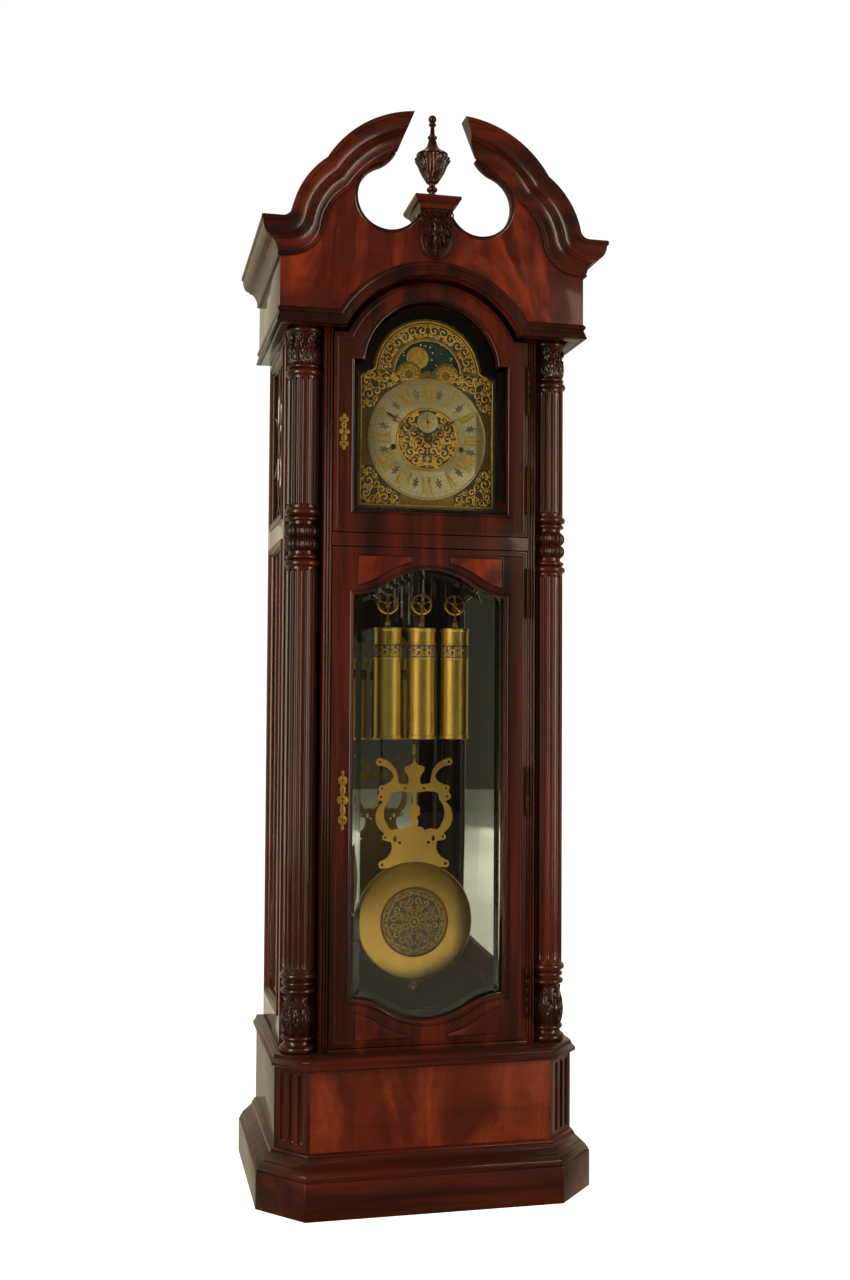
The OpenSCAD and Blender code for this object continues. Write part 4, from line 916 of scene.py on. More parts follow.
def hood_profile():
    """(share across, height out in millimetres) of the moulding round the arch."""
    p = [(0, -4), (0, 4.6), (0.03, 5.6), (0.10, 6.0), (0.17, 5.6), (0.20, 4.6), (0.22, 4.0), (0.26, 4.0)]
    p += [(0.30 + 0.30 * t, 4.4 - 3.2 * math.sin(t * math.pi / 2)) for t in np.linspace(0, 1, 7)]
    p += [(0.64, 1.2), (0.66, 2.4)]
    p += [(0.80 - 0.13 * math.cos(t), 2.2 + 2.0 * math.sin(t)) for t in np.linspace(0, math.pi, 8)]
    p += [(0.95, 1.6), (1, 0.8), (1, -4)]
    return p


def build_hood_moulding():
    """Moulding along the sides, the foot of the frieze and round the arch, in one run."""
    h, band = 30, 27
    r1 = ARCH_R + ARCH_GAP
    r2 = r1 + band
    a1 = math.degrees(math.asin((FRIEZE_Z - ARCH_Z) / r1))
    a2 = math.degrees(math.asin((FRIEZE_Z + h - ARCH_Z) / r2))
    n = 56
    inner, outer = arc((0, ARCH_Z), r1, 180 - a1, a1, n), arc((0, ARCH_Z), r2, 180 - a2, a2, n)
    profile = hood_profile()
    half = FRIEZE_HALF

    def side(s, y):
        return [(s * (half + max(out, -3)), (FRIEZE_Y - out if y is None else y), FRIEZE_Z + share * h)
                for share, out in profile]
    sections = [side(-1, BACK_Y), side(-1, None)]
    sections += [[(q[0] + (w[0] - q[0]) * share, FRIEZE_Y - out, q[1] + (w[1] - q[1]) * share)
                  for share, out in profile] for q, w in zip(inner, outer)]
    sections += [side(1, None), side(1, BACK_Y)]
    piece("hood_arch_moulding", [grid(sections)], CARVED, stands_for=["hood_moulding"], smooth=30)


def build_keystone():
    """Carved block in the middle of the pediment, and its moulded cap."""
    low = ARCH_Z + ARCH_R + ARCH_GAP + 28.5
    high = KEY_CAP[0][2]
    y = FRIEZE_Y - 9
    half = 34
    right = [(0, low)] + bow((0, low), (half - 3, low + 42), 9, 10) + [(half - 3, low + 54)]
    right += bow((half - 3, low + 54), (half, high), -4, 6)
    body = plate([both_halves(right[1:]) + [np.array([0, low])]], y, FRIEZE_Y + 40, 1.2)
    block = plate([[(-27, CROWN_Z + 62), (27, CROWN_Z + 62), (27, high), (-27, high)]],
                  FRIEZE_Y + 17, KEY_CAP[1][1] - 20, 0.8)
    parts = [body, block]
    for width, length, x0, tilt, depth, lobes in ((26, 80, 0, 0, 8, 4), (19, 62, 7, 0.20, 6.5, 3),
                                                  (16, 44, 10, 0.42, 6, 3), (13, 27, 12, 0.72, 5.5, 2)):
        f, b = leaf(width, length, lobes=lobes, depth=depth, curl=3.0)
        grids = []
        for g in (f, b):
            c, s = math.cos(tilt), math.sin(tilt)
            px, pz = g[..., 0] * c + g[..., 1] * s, g[..., 1] * c - g[..., 0] * s
            grids.append(np.stack([x0 + px, y - 1 - g[..., 2], high - 16 - pz], -1))
        part = shell(*grids)
        parts += [part] if not tilt else both([part])
    parts += both([volute((22, y - 2.5, high - 12), 10.5, 1.6, math.pi * 0.5, -1, 3.2, 1.1)])
    for k in range(9):
        parts.append(sphere((-20 + 5 * k, y - 2, high - 3.2), 2.3, 8))
    piece("keystone_carving", parts, CARVED, stands_for=["keystone"], smooth=50)

    z0, z1 = KEY_CAP[0][2], KEY_CAP[1][2]
    cap = [(13, 0), (13, 2.5), (11, 4), (9.5, 7), (6, 9.5), (4.5, 10), (4.5, 12), (2.5, 13.5), (1.2, 16),
           (0, 17), (0, z1 - z0 - 1), (1, z1 - z0)]
    x1, y0, y1 = KEY_CAP[1][0], KEY_CAP[0][1], KEY_CAP[1][1]
    sections = [[(-x1 + s, y0 + s, z0 + h), (x1 - s, y0 + s, z0 + h), (x1 - s, y1 - s, z0 + h),
                 (-x1 + s, y1 - s, z0 + h)] for s, h in cap]
    piece("keystone_cap_moulding", [grid(sections)], CHERRY_X, stands_for=["keystone_cap"], smooth=30)


def sphere(at, r, n=12):
    """A small bead, turned from its profile."""
    angles = np.linspace(0, math.pi, n // 2 + 2)
    profile = [(max(0.02 * r, r * math.sin(t)), -r * math.cos(t)) for t in angles]
    return lathe(profile, n, at)


def build_finial():
    """Turned urn with a ribbed lid and carved leaves."""
    at = (middle(FINIAL, 0), middle(FINIAL, 1), FINIAL[0][2])
    lid_low, lid_high = 102, 128
    turned = [(0.1, 0), (17, 0), (17.5, 2), (16.5, 5), (12, 7)] + bow((12, 7), (6.5, 22), -2.5, 7)
    turned += [(6.5, 25), (10, 27), (11, 30), (10, 33), (6.5, 35), (6, 38), (7, 41), (10, 42.5)]
    lid = [(28, 96), (31, 97.5), (31.5, 100), (29, 102)] + bow((29, 103), (8, lid_high), -5, 10)
    lid += [(6.5, 131), (9, 133), (9.5, 136), (7, 138), (5, 141), (4.2, 150), (4.2, 157), (7, 159)]
    lid += [(7.5, 161.5), (6, 163.5), (3.5, 165), (3.5, 168), (0.1, 169)]
    bowl = [(7, 42), (10, 45)] + bow((10, 45), (31, 86), 2.5, 14)
    bowl += [(35, 90), (35.5, 93), (33, 95.5), (28, 97)]

    def ribbed(a, h, r):
        return r - 1.6 * (1 - abs(math.sin(6 * a))) if lid_low <= h <= lid_high else r
    parts = [lathe(turned, 48), lathe(lid, 96, shape=ribbed), lathe(bowl, 144, shape=gadroon(10, 5)),
             sphere((0, 0, 171.8), 8.2, 20)]

    def wall(h):
        t = min(max((h - 45) / 43, 0), 1)
        return 9 + 21 * t + 2.5 * math.sin(math.pi * t)
    parts += wrapped_leaves(5, wall, 44, 1, 22, 50, lobes=2, depth=3.2, curl=5.0, nu=11, nv=20)
    piece("finial_turned", [moved(p, at) for p in parts], CARVED, stands_for=["finial"], smooth=45)


# ---- doors ----

SIGHT_X = DOOR_X - 52
SIGHT_R = ARCH_R - 60
SIGHT_Z = ARCH_Z + 12
COVE_W = 13
LOWER_SIGHT_X = DOOR_X - 43
HEAD_Z = LOWER_DOOR[1][2] - 92
FOOT_Z = LOWER_DOOR[0][2] + 90
EDGE_BEAD = [(0, 0), (0.3, 1.2), (1.6, 2.2), (3.2, 2.2), (4.6, 1.3), (5.0, 0.2), (5.0, -1), (0, -1)]
PANEL_BEAD = [(-0.5, -1), (0, 0.6), (1.2, 1.1), (2.6, 1.1), (3.8, 0.5), (4.4, -0.8)]
GLASS_COVE = [(1.0, -0.6), (1.0, 1.2), (-0.4, 2.3), (-2.4, 2.4), (-3.8, 1.4), (-4.2, 0), (-5.0, -1.2)]


def arched(half_w, low, shoulder, r, centre_z, n=72):
    """Counter-clockwise outline of a rectangle with an arch on top."""
    a = math.degrees(math.asin(min(1, (shoulder - centre_z) / r)))
    points = [np.array([-half_w, low]), np.array([half_w, low]), np.array([half_w, shoulder])]
    return points + arc((0, centre_z), r, a, 180 - a, n) + [np.array([-half_w, shoulder])]


def cove(depth):
    """Moulding that leads from a frame's face down to the glass."""
    run = list(GLASS_COVE)
    run += [(-5.0 - 6.0 * math.sin(t), -1.2 - (depth - 3) * (1 - math.cos(t))) for t in
            np.linspace(0.2, math.pi / 2, 7)]
    run += [(-12.4, -depth + 1.6), (-13.2, -depth + 0.4), (-13.2, -depth - 2), (1.0, -depth - 2)]
    return run


def build_upper_door():
    """Arched door over the dial."""
    outer = arched(DOOR_X, UPPER_DOOR[0][2], SHOULDER_Z, ARCH_R, ARCH_Z)

    def sight(d):
        return arched(SIGHT_X + d, UPPER_DOOR[0][2] + 54 - d, SIGHT_Z + 12, SIGHT_R + d, SIGHT_Z)

    def nested(path, y, profile):
        rows = [path(-d) for d, _ in profile]
        return grid([[(r[i][0], y - h, r[i][1]) for r, (_, h) in zip(rows, profile)]
                     for i in range(len(rows[0]))], closed=True)
    board = plate([outer, sight(COVE_W)], FACE_Y, FACE_Y + DOOR_T, 0.8)
    piece("upper_door_board", [board], CHERRY, "upper_door", ["upper_door_frame"])
    depth = DOOR_T - 5
    piece("upper_door_cove", [nested(lambda d: sight(COVE_W + d), FACE_Y, cove(depth))], CARVED, "upper_door")
    edge = [(d, h * 0.7) for d, h in EDGE_BEAD]
    bead = nested(lambda d: arched(DOOR_X - 7 + d, UPPER_DOOR[0][2] + 7 - d, SHOULDER_Z - 7 + d,
                                   ARCH_R - 7 + d, ARCH_Z), FACE_Y, edge)
    piece("upper_door_bead", [bead], CHERRY, "upper_door")
    frame["nodes"]["upper_door_glass"].data.materials[0] = GLASS
    escutcheon("upper_escutcheon", "upper_door", -DOOR_X + 20, DIAL_Z - 36, DIAL_Z + 36)


def ogee_sight():
    """Counter-clockwise outline of the lower door's opening."""
    w = LOWER_SIGHT_X
    foot_x, head_x = 0.53 * w, 0.56 * w
    right = [np.array([0, FOOT_Z - 47])] + bow((0, FOOT_Z - 47), (foot_x, FOOT_Z - 23), 6, 14)
    right += bow((foot_x, FOOT_Z - 23), (w, FOOT_Z), -5, 12)
    right += [np.array([w, HEAD_Z])] + bow((w, HEAD_Z), (head_x, HEAD_Z + 23), -4.6, 12)
    right += bow((head_x, HEAD_Z + 23), (0, HEAD_Z + 52), 7, 14)
    return right + mirrored(right[1:-1])


def inset_panels():
    """Counter-clockwise outlines of the four shaped panels let into the lower door."""
    w, x = LOWER_SIGHT_X - 5, 0.62 * LOWER_SIGHT_X
    head = [np.array(p, float) for p in ((36, HEAD_Z + 79), (w, HEAD_Z + 79), (w, HEAD_Z + 14))]
    head += bow((w, HEAD_Z + 14), (x, HEAD_Z + 38), -3, 10) + bow((x, HEAD_Z + 38), (36, HEAD_Z + 62), 3, 10)
    foot = [np.array(p, float) for p in ((w, FOOT_Z - 79), (36, FOOT_Z - 79), (36, FOOT_Z - 68))]
    foot += bow((36, FOOT_Z - 68), (x, FOOT_Z - 44), 3, 10) + bow((x, FOOT_Z - 44), (w, FOOT_Z - 20), -3, 10)
    right = [list(reversed(head)), list(reversed(foot))]
    return right + [mirrored(outline) for outline in right]


def build_lower_door():
    """Long door with a shaped opening and four veneered panels."""
    low, high = LOWER_DOOR
    outer = [(-DOOR_X, low[2]), (DOOR_X, low[2]), (DOOR_X, high[2]), (-DOOR_X, high[2])]
    sight = ogee_sight()
    board = plate([outer, sight], FACE_Y + 1.2, FACE_Y + DOOR_T, 0.6)
    piece("lower_door_board", [board], CHERRY, "lower_door", ["lower_door_frame"])
    piece("lower_door_cove", [rim(offset(sight, 4), FACE_Y + 1.2, cove(DOOR_T - 6))], CARVED, "lower_door")
    piece("lower_door_bead", [rim(offset(outer, -7), FACE_Y + 1.2, [(d, h * 0.5) for d, h in EDGE_BEAD])],
          CHERRY, "lower_door")
    veneers, beads = [], []
    for outline in inset_panels():
        area = sum(p[0] * q[1] - q[0] * p[1] for p, q in zip(outline, outline[1:] + outline[:1]))
        run = outline if area > 0 else list(reversed(outline))
        veneers.append(plate([offset(run, -4)], FACE_Y + 0.5, FACE_Y + 2.5, 0.2))
        beads.append(rim(run, FACE_Y + 1.2, PANEL_BEAD))
    piece("lower_door_veneers", veneers, FLAME_DARK, "lower_door", ["lower_door_panels"])
    piece("lower_door_panel_beads", beads, CARVED, "lower_door")
    build_lower_glass(sight)
    escutcheon("lower_escutcheon", "lower_door", -DOOR_X + 23, low[2] + 414, low[2] + 528)


def build_lower_glass(sight):
    """Lower pane, with its wide bevel shown as a darker band round the edge."""
    frame["nodes"]["lower_door_glass"].data.materials[0] = GLASS
    y = FACE_Y + DOOR_T - 4.2
    band = rim(offset(sight, -8), y, [(0, -0.1), (0, 1.6), (6, 1.2), (10, 0.3), (10, -0.1)])
    piece("lower_glass_bevel", [band], BEVEL, "lower_door")


def escutcheon(node, body, x, z0, z1):
    """Pierced key plate with scrolled edges round a raised keyhole."""
    mid, h = (z0 + z1) / 2, (z1 - z0) / 2
    right = [(0, -h), (2.2, -h + 1.5), (3.4, -h + 5), (1.6, -h + 8)]
    for z, r in ((-0.66, 8.6), (-0.34, 5.4), (0, 11.0), (0.34, 5.4), (0.66, 8.6)):
        right += [(1.8 + (r - 1.8) * math.sin(t), z * h - 0.16 * h * math.cos(t))
                  for t in np.linspace(0.2, math.pi - 0.2, 9)]
    right += [(1.6, h - 8), (3.4, h - 5), (2.2, h - 1.5), (0, h)]
    outline = [(x + p[0], mid + p[1]) for p in right + mirrored(right[1:-1])]
    holes = []
    for z in (-0.66, 0.66):
        holes += [arc((x, mid + z * h), 2.0, 0, 330, 11)]
        holes += [arc((x + s * 5.0, mid + z * h), 1.5, 0, 330, 9) for s in (-1, 1)]
    for s in (-1, 1):
        holes += [arc((x + s * 1.2, mid + t * 0.36 * h), 0.8, 0, 330, 9) for t in (-1, 1)]
    key = [(x + 2.3 * math.cos(t), mid + 3 + 2.3 * math.sin(t)) for t in np.linspace(-1.1, math.pi + 1.1, 14)]
    key += [(x - 1.3, mid - 5.5), (x + 1.3, mid - 5.5)]
    parts = [plate([outline, key] + holes, FACE_Y - 1.5, FACE_Y - 0.1, 0.35)]
    parts.append(rim([(x + 5.2 * math.cos(t), mid + 6.6 * math.sin(t)) for t in np.arange(0, TAU, TAU / 28)],
                     FACE_Y - 1.4, [(0, 0), (0.3, 0.6), (1.0, 0.6), (1.3, 0)]))
    piece(node + "_plate", parts, GILT, body, [node])


# ---- ornament ----

def scrollwork(inside, box, y, rng, sizes=(9, 6.5, 4.5, 3.2), wire=1.1, flat=0.6, tries=500):
    """Spirals packed into a region, each with a leaf-like head, touching their neighbours."""
    placed, parts = [], []
    x0, z0, x1, z1 = box
    around = [(math.cos(t), math.sin(t)) for t in np.arange(0, TAU, 0.8)]
    for size in sizes:
        for _ in range(tries):
            x, z = rng.uniform(x0, x1), rng.uniform(z0, z1)
            if not all(inside(x + size * c, z + size * s) for c, s in around):
                continue
            if all(math.hypot(x - p, z - q) > (size + r) * 0.93 for p, q, r in placed):
                placed.append((x, z, size))
                start, hand = rng.uniform(0, TAU), rng.choice((-1, 1))
                radius = wire * (0.75 + size / 18)
                parts.append(volute((x, y, z), size, 1.25, start, hand, radius, flat, n=20))
                tip = start + hand * 0.5
                parts.append(petal((x + size * math.cos(tip), y, z + size * math.sin(tip)),
                                   tip + hand * 1.1, size * 0.9, size * 0.36, flat))
    return parts


def petal(at, angle, length, width, thick=0.6):
    """A small pointed leaf lying in the plane of the dial."""
    c, s = math.cos(angle), math.sin(angle)
    pts = [(at[0] + t * length * c, at[1], at[2] + t * length * s) for t in np.linspace(0, 1, 6)]
    radii = [0.15 * width, 0.42 * width, 0.5 * width, 0.4 * width, 0.22 * width, 0.03 * width]
    return tube(pts, radii, 6, thick)


def ring_of(parts, count, centre, mirror=True):
    """Copies of parts turned round a centre in the plane of the dial."""
    made = []
    for k in range(count):
        a = TAU * k / count
        c, s = math.cos(a), math.sin(a)
        for hand in ((1, -1) if mirror else (1,)):
            for v, f in parts:
                x, z = (v[:, 0] - centre[0]) * hand, v[:, 2] - centre[1]
                w = np.stack([centre[0] + x * c - z * s, v[:, 1], centre[1] + x * s + z * c], 1)
                made.append((w, f if hand > 0 else wound(f)))
    return made


def sector_scrolls(centre, r0, r1, count, y, seed, wire=1.0, sizes=(7, 5, 3.6, 2.6), flat=0.6):
    """Mirrored scrollwork filling a ring from r0 to r1 in count repeats."""
    rng = random.Random(seed)
    half = math.pi / count

    def inside(x, z):
        dx, dz = x - centre[0], z - centre[1]
        r = math.hypot(dx, dz)
        return r0 + 0.5 < r < r1 - 0.5 and 0.2 < math.atan2(dx, dz) * r and math.atan2(dx, dz) < half
    box = (centre[0], centre[1] + r0 * 0.6, centre[0] + r1 * math.sin(half) + 1, centre[1] + r1)
    return ring_of(scrollwork(inside, box, y, rng, sizes, wire, flat), count, centre)


def circle_rim(centre, r, y, width, height, n=96):
    """A raised half-round ring in the plane of the dial."""
    path = [(centre[0] + r * math.cos(t), centre[1] + r * math.sin(t)) for t in np.arange(n) * TAU / n]
    return rim(path, y, [(0, -0.6), (0, 0.2 * height), (0.3 * width, height), (0.7 * width, height),
                         (width, 0.2 * height), (width, -0.6)])


# ---- dial ----

NUMERALS = ["XII", "I", "II", "III", "IIII", "V", "VI", "VII", "VIII", "IX", "X", "XI"]
STROKES = {"I": [((0, 0), (0, 1), 1)], "V": [((-0.26, 1), (0.02, 0), 1), ((0.28, 1), (0.02, 0), 0.4)],
           "X": [((-0.28, 1), (0.28, 0), 1), ((0.28, 1), (-0.28, 0), 0.4)]}
WIDTHS = {"I": 7.4, "V": 16, "X": 16}
NUMERAL_FOOT_R, NUMERAL_H = 76, 31
TRACK_R, HOUR_DOT_R, MINUTE_DOT_R = 113.5, 1.25, 0.6
HALF_HOUR_R = 91
MOON_PATH_R = 38
QUARTERS = ((1, 1), (1, -1), (-1, 1), (-1, -1))
BORDER = [(0, -0.5), (0, 0.8), (0.8, 1.4), (2.2, 1.4), (3, 0.8), (3, -0.5)]
SECONDS_AT, SECONDS_R = (0, DIAL_Z + 34), 22


def bar(p, q, w, y0, y1):
    """A flat stroke from p to q in the plane of the dial."""
    p, q = np.array(p, float), np.array(q, float)
    n = np.array([-(q - p)[1], (q - p)[0]]) / np.hypot(*(q - p)) * w / 2
    corners = [p - n, q - n, q + n, p + n]
    tops = [c + ((p + q) / 2 - c) * 0.06 for c in corners]
    return grid([[(c[0], y1, c[1]) for c in corners], [(c[0], y0 + 0.15, c[1]) for c in corners],
                 [(c[0], y0, c[1]) for c in tops]])


def on_dial(parts, angle):
    """Parts drawn upright about the origin, turned clockwise by an angle and set on the dial's centre."""
    c, s = math.cos(angle), math.sin(angle)
    return [(np.stack([v[:, 0] * c + v[:, 2] * s, v[:, 1], DIAL_Z - v[:, 0] * s + v[:, 2] * c], 1), f)
            for v, f in parts]


def numeral(text, angle, r_low, height, y):
    """A Roman numeral standing on the ring, its foot toward the centre."""
    total = sum(WIDTHS[c] for c in text)
    x, parts = -total / 2, []
    for c in text:
        x += WIDTHS[c] / 2
        for (px, pz), (qx, qz), weight in STROKES[c]:
            p, q = (x + px * 18, pz * height), (x + qx * 18, qz * height)
            parts.append(bar(p, q, 4.2 * weight + 0.4, y, y + 0.8))
        reach = WIDTHS[c] * 0.46
        feet = (1,) if c == "V" else (0, 1)
        parts += [bar((x - reach, z * height), (x + reach, z * height), 1.4, y - 0.02, y + 0.8) for z in feet]
        x += WIDTHS[c] / 2
    return on_dial([moved(p, (0, 0, r_low)) for p in parts], angle)


def build_dial():
    """Chapter ring with its numerals, minute dots and half-hour marks, then the rest of the dial."""
    y = RING[0][1]
    holes = [arc(p, 5, 0, 345, 23) for p in WINDING]
    ring = [arc(DIAL_AT, RING_R, 0, 357, 119), arc(DIAL_AT, CENTRE_R + 0.3, 0, 357, 119)] + holes
    piece("chapter_ring_plate", [plate(ring, y, y + 2, 0.3)], SILVERED, stands_for=["chapter_ring"])
    softened("dial_plate", GROUND, 0.3)

    gold, ink, marks = [], [], []
    for k, text in enumerate(NUMERALS):
        gold += numeral(text, TAU * k / 12, NUMERAL_FOOT_R, NUMERAL_H, y - 0.55)
    gold += [circle_rim(DIAL_AT, RING_R - 1.8, y, 1.8, 0.7), circle_rim(DIAL_AT, CENTRE_R + 2, y, 1.6, 0.7)]
    for hole in WINDING:
        gold.append(circle_rim(hole, 6.6, y - 0.2, 1.8, 1.3, 32))
    piece("dial_numerals", gold, GILT)
    for k in range(60):
        a = TAU * k / 60
        size = HOUR_DOT_R if k % 5 == 0 else MINUTE_DOT_R
        dot = lathe([(size, 0), (size * 0.9, 0.22), (0.05, 0.3)], 10)
        ink.append(facing(dot, (TRACK_R * math.sin(a), y + 0.02, DIAL_Z + TRACK_R * math.cos(a))))
    for k in range(12):
        a = TAU * (k + 0.5) / 12
        at = (HALF_HOUR_R * math.sin(a), y - 0.05, DIAL_Z + HALF_HOUR_R * math.cos(a))
        for turn, length in ((0, 13), (math.pi, 13), (0.85, 9), (-0.85, 9), (math.pi - 0.85, 9),
                             (math.pi + 0.85, 9)):
            marks.append(petal(at, math.pi / 2 - a + turn, length, 4.6, 0.25))
        marks.append(circle_rim((at[0], at[2]), 3.4, y + 0.1, 1.2, 0.5, 20))
    for r in (110.2, 116.8, 76.5):
        ink.append(circle_rim(DIAL_AT, r, y + 0.1, 0.5, 0.25))
    piece("dial_track", ink, INK)
    piece("dial_half_hours", marks, MARK)

    build_dial_centre(y)
    build_spandrels(y)
    build_moon()


def build_dial_centre(y):
    """Pierced centre over a dark sheet of painted shade, with the seconds ring at its top."""
    # Dark sheet behind the pierced centre: painted shade seen between the scrolls.
    ground = plate([arc(DIAL_AT, CENTRE_R, 0, 357, 119), arc(DIAL_AT, 5.8, 0, 345, 23)]
                   + [arc(p, 5, 0, 345, 23) for p in WINDING[1:2]], y + 1.2, y + 2, 0.1)
    piece("dial_centre_painted_shade", [ground], SHADE)
    sec, r_sec = SECONDS_AT, SECONDS_R
    rng = random.Random(4)

    def inside(x, z):
        r = math.hypot(x, z - DIAL_Z)
        clear = all(math.hypot(x - p[0], z - p[1]) > 8 for p in WINDING)
        return 9 < r < CENTRE_R - 3 and x > 0.4 and clear and math.hypot(x, z - sec[1]) > r_sec + 1
    parts = both(scrollwork(inside, (0, DIAL_Z - CENTRE_R, CENTRE_R, DIAL_Z + CENTRE_R), y + 0.5, rng,
                            (9, 7, 5.2, 3.8, 2.6), 1.7, 0.5, 700))
    for k in range(9):
        h = DIAL_Z - CENTRE_R + 5 + 5.6 * k
        if abs(h - WINDING[1][1]) > 8 and h < DIAL_Z - 10:
            parts.append(petal((0, y + 0.4, h), math.pi / 2, 6, 5, 0.6))
    parts.append(circle_rim(DIAL_AT, CENTRE_R - 0.4, y + 0.6, 3, 1.0))
    parts.append(circle_rim(DIAL_AT, 9, y + 0.4, 2.4, 1.0, 40))
    piece("dial_centre_scrolls", parts, GILT, stands_for=["dial_centre"], smooth=60)
    ring = [arc(sec, r_sec, 0, 354, 59), arc(sec, 2, 0, 330, 11)]
    piece("seconds_ring", [plate(ring, y - 0.1, y + 0.7, 0.15)], SILVERED)
    marks = [circle_rim(sec, r_sec, y + 0.1, 1.0, 0.6, 60), circle_rim(sec, 0.62 * r_sec, y, 0.5, 0.3, 48)]
    for k in range(60):
        a = TAU * k / 60
        inner = 0.80 * r_sec if k % 5 else 0.70 * r_sec
        p = (inner * math.sin(a), sec[1] + inner * math.cos(a))
        q = (0.9 * r_sec * math.sin(a), sec[1] + 0.9 * r_sec * math.cos(a))
        marks.append(bar(p, q, 0.35 if k % 5 else 0.7, y - 0.15, y + 0.1))
    piece("seconds_marks", marks, INK)
    star = [petal((sec[0], y - 0.2, sec[1]), TAU * k / 8, 10, 4.4, 0.4) for k in range(8)]
    piece("seconds_star", star + [circle_rim(sec, 12.5, y - 0.1, 1.4, 0.6, 40)], GILT)


def build_spandrels(y):
    """Pierced scrollwork in the four corners, a gilt border round the plate, and dark sheets of painted shade
    under the scrolls.
    """
    half = DIAL[1][0]
    rng = random.Random(11)

    def inside(x, z):
        return (math.hypot(x, z) > RING_R + 3 and x < half - 8 and z < half - 8 and x > 56 and z > 56
                and x - z > 0.4)
    corner = scrollwork(inside, (50, 50, half, half), y + 0.6, rng, (10, 7.5, 5.5, 4, 2.8), 1.5, 0.6, 900)
    corner += [(v[:, [2, 1, 0]], wound(f)) for v, f in corner]
    parts = []
    for sx, sz in QUARTERS:
        for v, f in corner:
            placed = v * np.array([sx, 1, sz]) + np.array([0, 0, DIAL_Z])
            parts.append((placed, wound(f) if sx * sz < 0 else f))
    low, high = DIAL[0][2] + 4, MOON_Z - 10
    arch = arc((0, MOON_Z), DIAL[1][2] - MOON_Z - 4, 4, 176, 60)
    border = [(-half + 4, low), (half - 4, low), (half - 4, high)] + arch + [(-half + 4, high)]
    parts.append(rim(border, y + 2, BORDER))
    path = [(-half + 4, high - 4), (half - 4, high - 4)]
    parts.append(rim(path, y + 2, BORDER, closed=False))
    parts += arch_scrolls(y)
    # Dark sheets under the corner and arch scrolls: painted shade between the scroll wires.
    painted_shade_sheets = []
    for sx, sz in QUARTERS:
        run = [(58, half - 8), (half - 8, half - 8), (half - 8, 58)] + arc((0, 0), RING_R + 2, 26, 64, 20)
        painted_shade_sheets.append(plate([[(sx * px, DIAL_Z + sz * pz) for px, pz in run]], y + 1.3, y + 2, 0.1))
    r1 = DIAL[1][2] - MOON_Z - 9
    sector = arc((0, MOON_Z), r1, 4, 176, 60) + arc((0, MOON_Z), 73, 176, 4, 60)
    painted_shade_sheets.append(plate([sector], y + 1.3, y + 2, 0.1))
    piece("spandrel_painted_shade", painted_shade_sheets, SHADE)
    piece("dial_spandrel_scrolls", parts, GILT, stands_for=["dial_spandrels"], smooth=60)


def arch_scrolls(y):
    """Ring of scrollwork round the moon opening, between two raised rims."""
    r0, r1 = 70, DIAL[1][2] - MOON_Z - 8
    rng = random.Random(7)

    def inside(x, z):
        r = math.hypot(x, z - MOON_Z)
        return r0 + 4 < r < r1 - 3 and x > 0.5 and z > MOON_Z + 4
    box = (0, MOON_Z, r1, MOON_Z + r1)
    parts = both(scrollwork(inside, box, y + 0.6, rng, (9, 6.5, 4.5, 3, 2.2), 1.3, 0.6, 900))
    for r in (r0 - 1, r1 - 2):
        run = [(r * math.cos(t), MOON_Z + r * math.sin(t)) for t in np.linspace(0.05, math.pi - 0.05, 64)]
        parts.append(rim(run, y + 1.6, [(0, -1), (0, 0.6), (0.8, 1.4), (1.8, 1.4), (2.6, 0.6), (2.6, -1)],
                         closed=False))
    return parts


def build_moon():
    """Turning night sky with two moons, and the two humps that hide them."""
    disc_r, sky_y = 73.5, DIAL_Y + 3.6
    sky = facing(lathe([(0.1, 0), (disc_r, 0), (disc_r, 1.0), (0.1, 1.1)], 96), (0, sky_y, MOON_Z))
    arbor = facing(lathe([(2.5, 0), (2.5, MOON[1][1] - sky_y)], 24), (0, sky_y, MOON_Z), out=-1)
    piece("moon_sky_disc", [sky, arbor], SKY, "moon", ["moon_disc"])
    moons, marks = [], []
    for a in (122, 302):
        at = (MOON_PATH_R * math.cos(math.radians(a)), MOON_Z + MOON_PATH_R * math.sin(math.radians(a)))
        dome = lathe([(22.3, 0), (21.5, 0.25), (14, 0.42), (0.05, 0.5)], 64)
        moons.append(facing(dome, (at[0], DIAL_Y + 2.62, at[1])))
        rng = random.Random(a)
        for _ in range(16):
            r, t = 18.5 * math.sqrt(rng.random()), rng.uniform(0, TAU)
            size = rng.uniform(1.0, 3.6)
            marks.append(circle_rim((at[0] + r * math.cos(t), at[1] + r * math.sin(t)), size, DIAL_Y + 2.2,
                                    0.5, 0.16, 18))
    piece("moon_faces", moons, GILT, "moon")
    piece("moon_craters", marks, INK, "moon")
    humps = []
    for s in (-1, 1):
        at = (s * MOON_PATH_R, MOON_Z - 2)
        humps += sector_scrolls(at, 3, 23, 6, DIAL_Y - 0.3, 21, 0.9, (5.5, 4, 2.8, 2))
        humps.append(circle_rim(at, 25, DIAL_Y, 2, 1.2, 64))
    humps = [(v, f) for v, f in humps if v[:, 2].min() > MOON_Z - 26]
    piece("moon_hump_scrolls", humps, GILT, smooth=60)


# ---- hands ----

CENTRE_WHEEL_R, CENTRE_TEETH = 28, 60
HOUR_WHEEL_R, HOUR_TEETH = 22, 48
ESCAPE_WHEEL_R, ESCAPE_TEETH = 18, 30
MINUTE_LENGTH, HOUR_LENGTH = 108, 72
# Hours and minutes that the hands show at rest.
TIME_SHOWN = (1, 50)
MINUTE_ANGLE = math.radians(6 * TIME_SHOWN[1])
HOUR_ANGLE = math.radians(30 * TIME_SHOWN[0] + TIME_SHOWN[1] / 2)


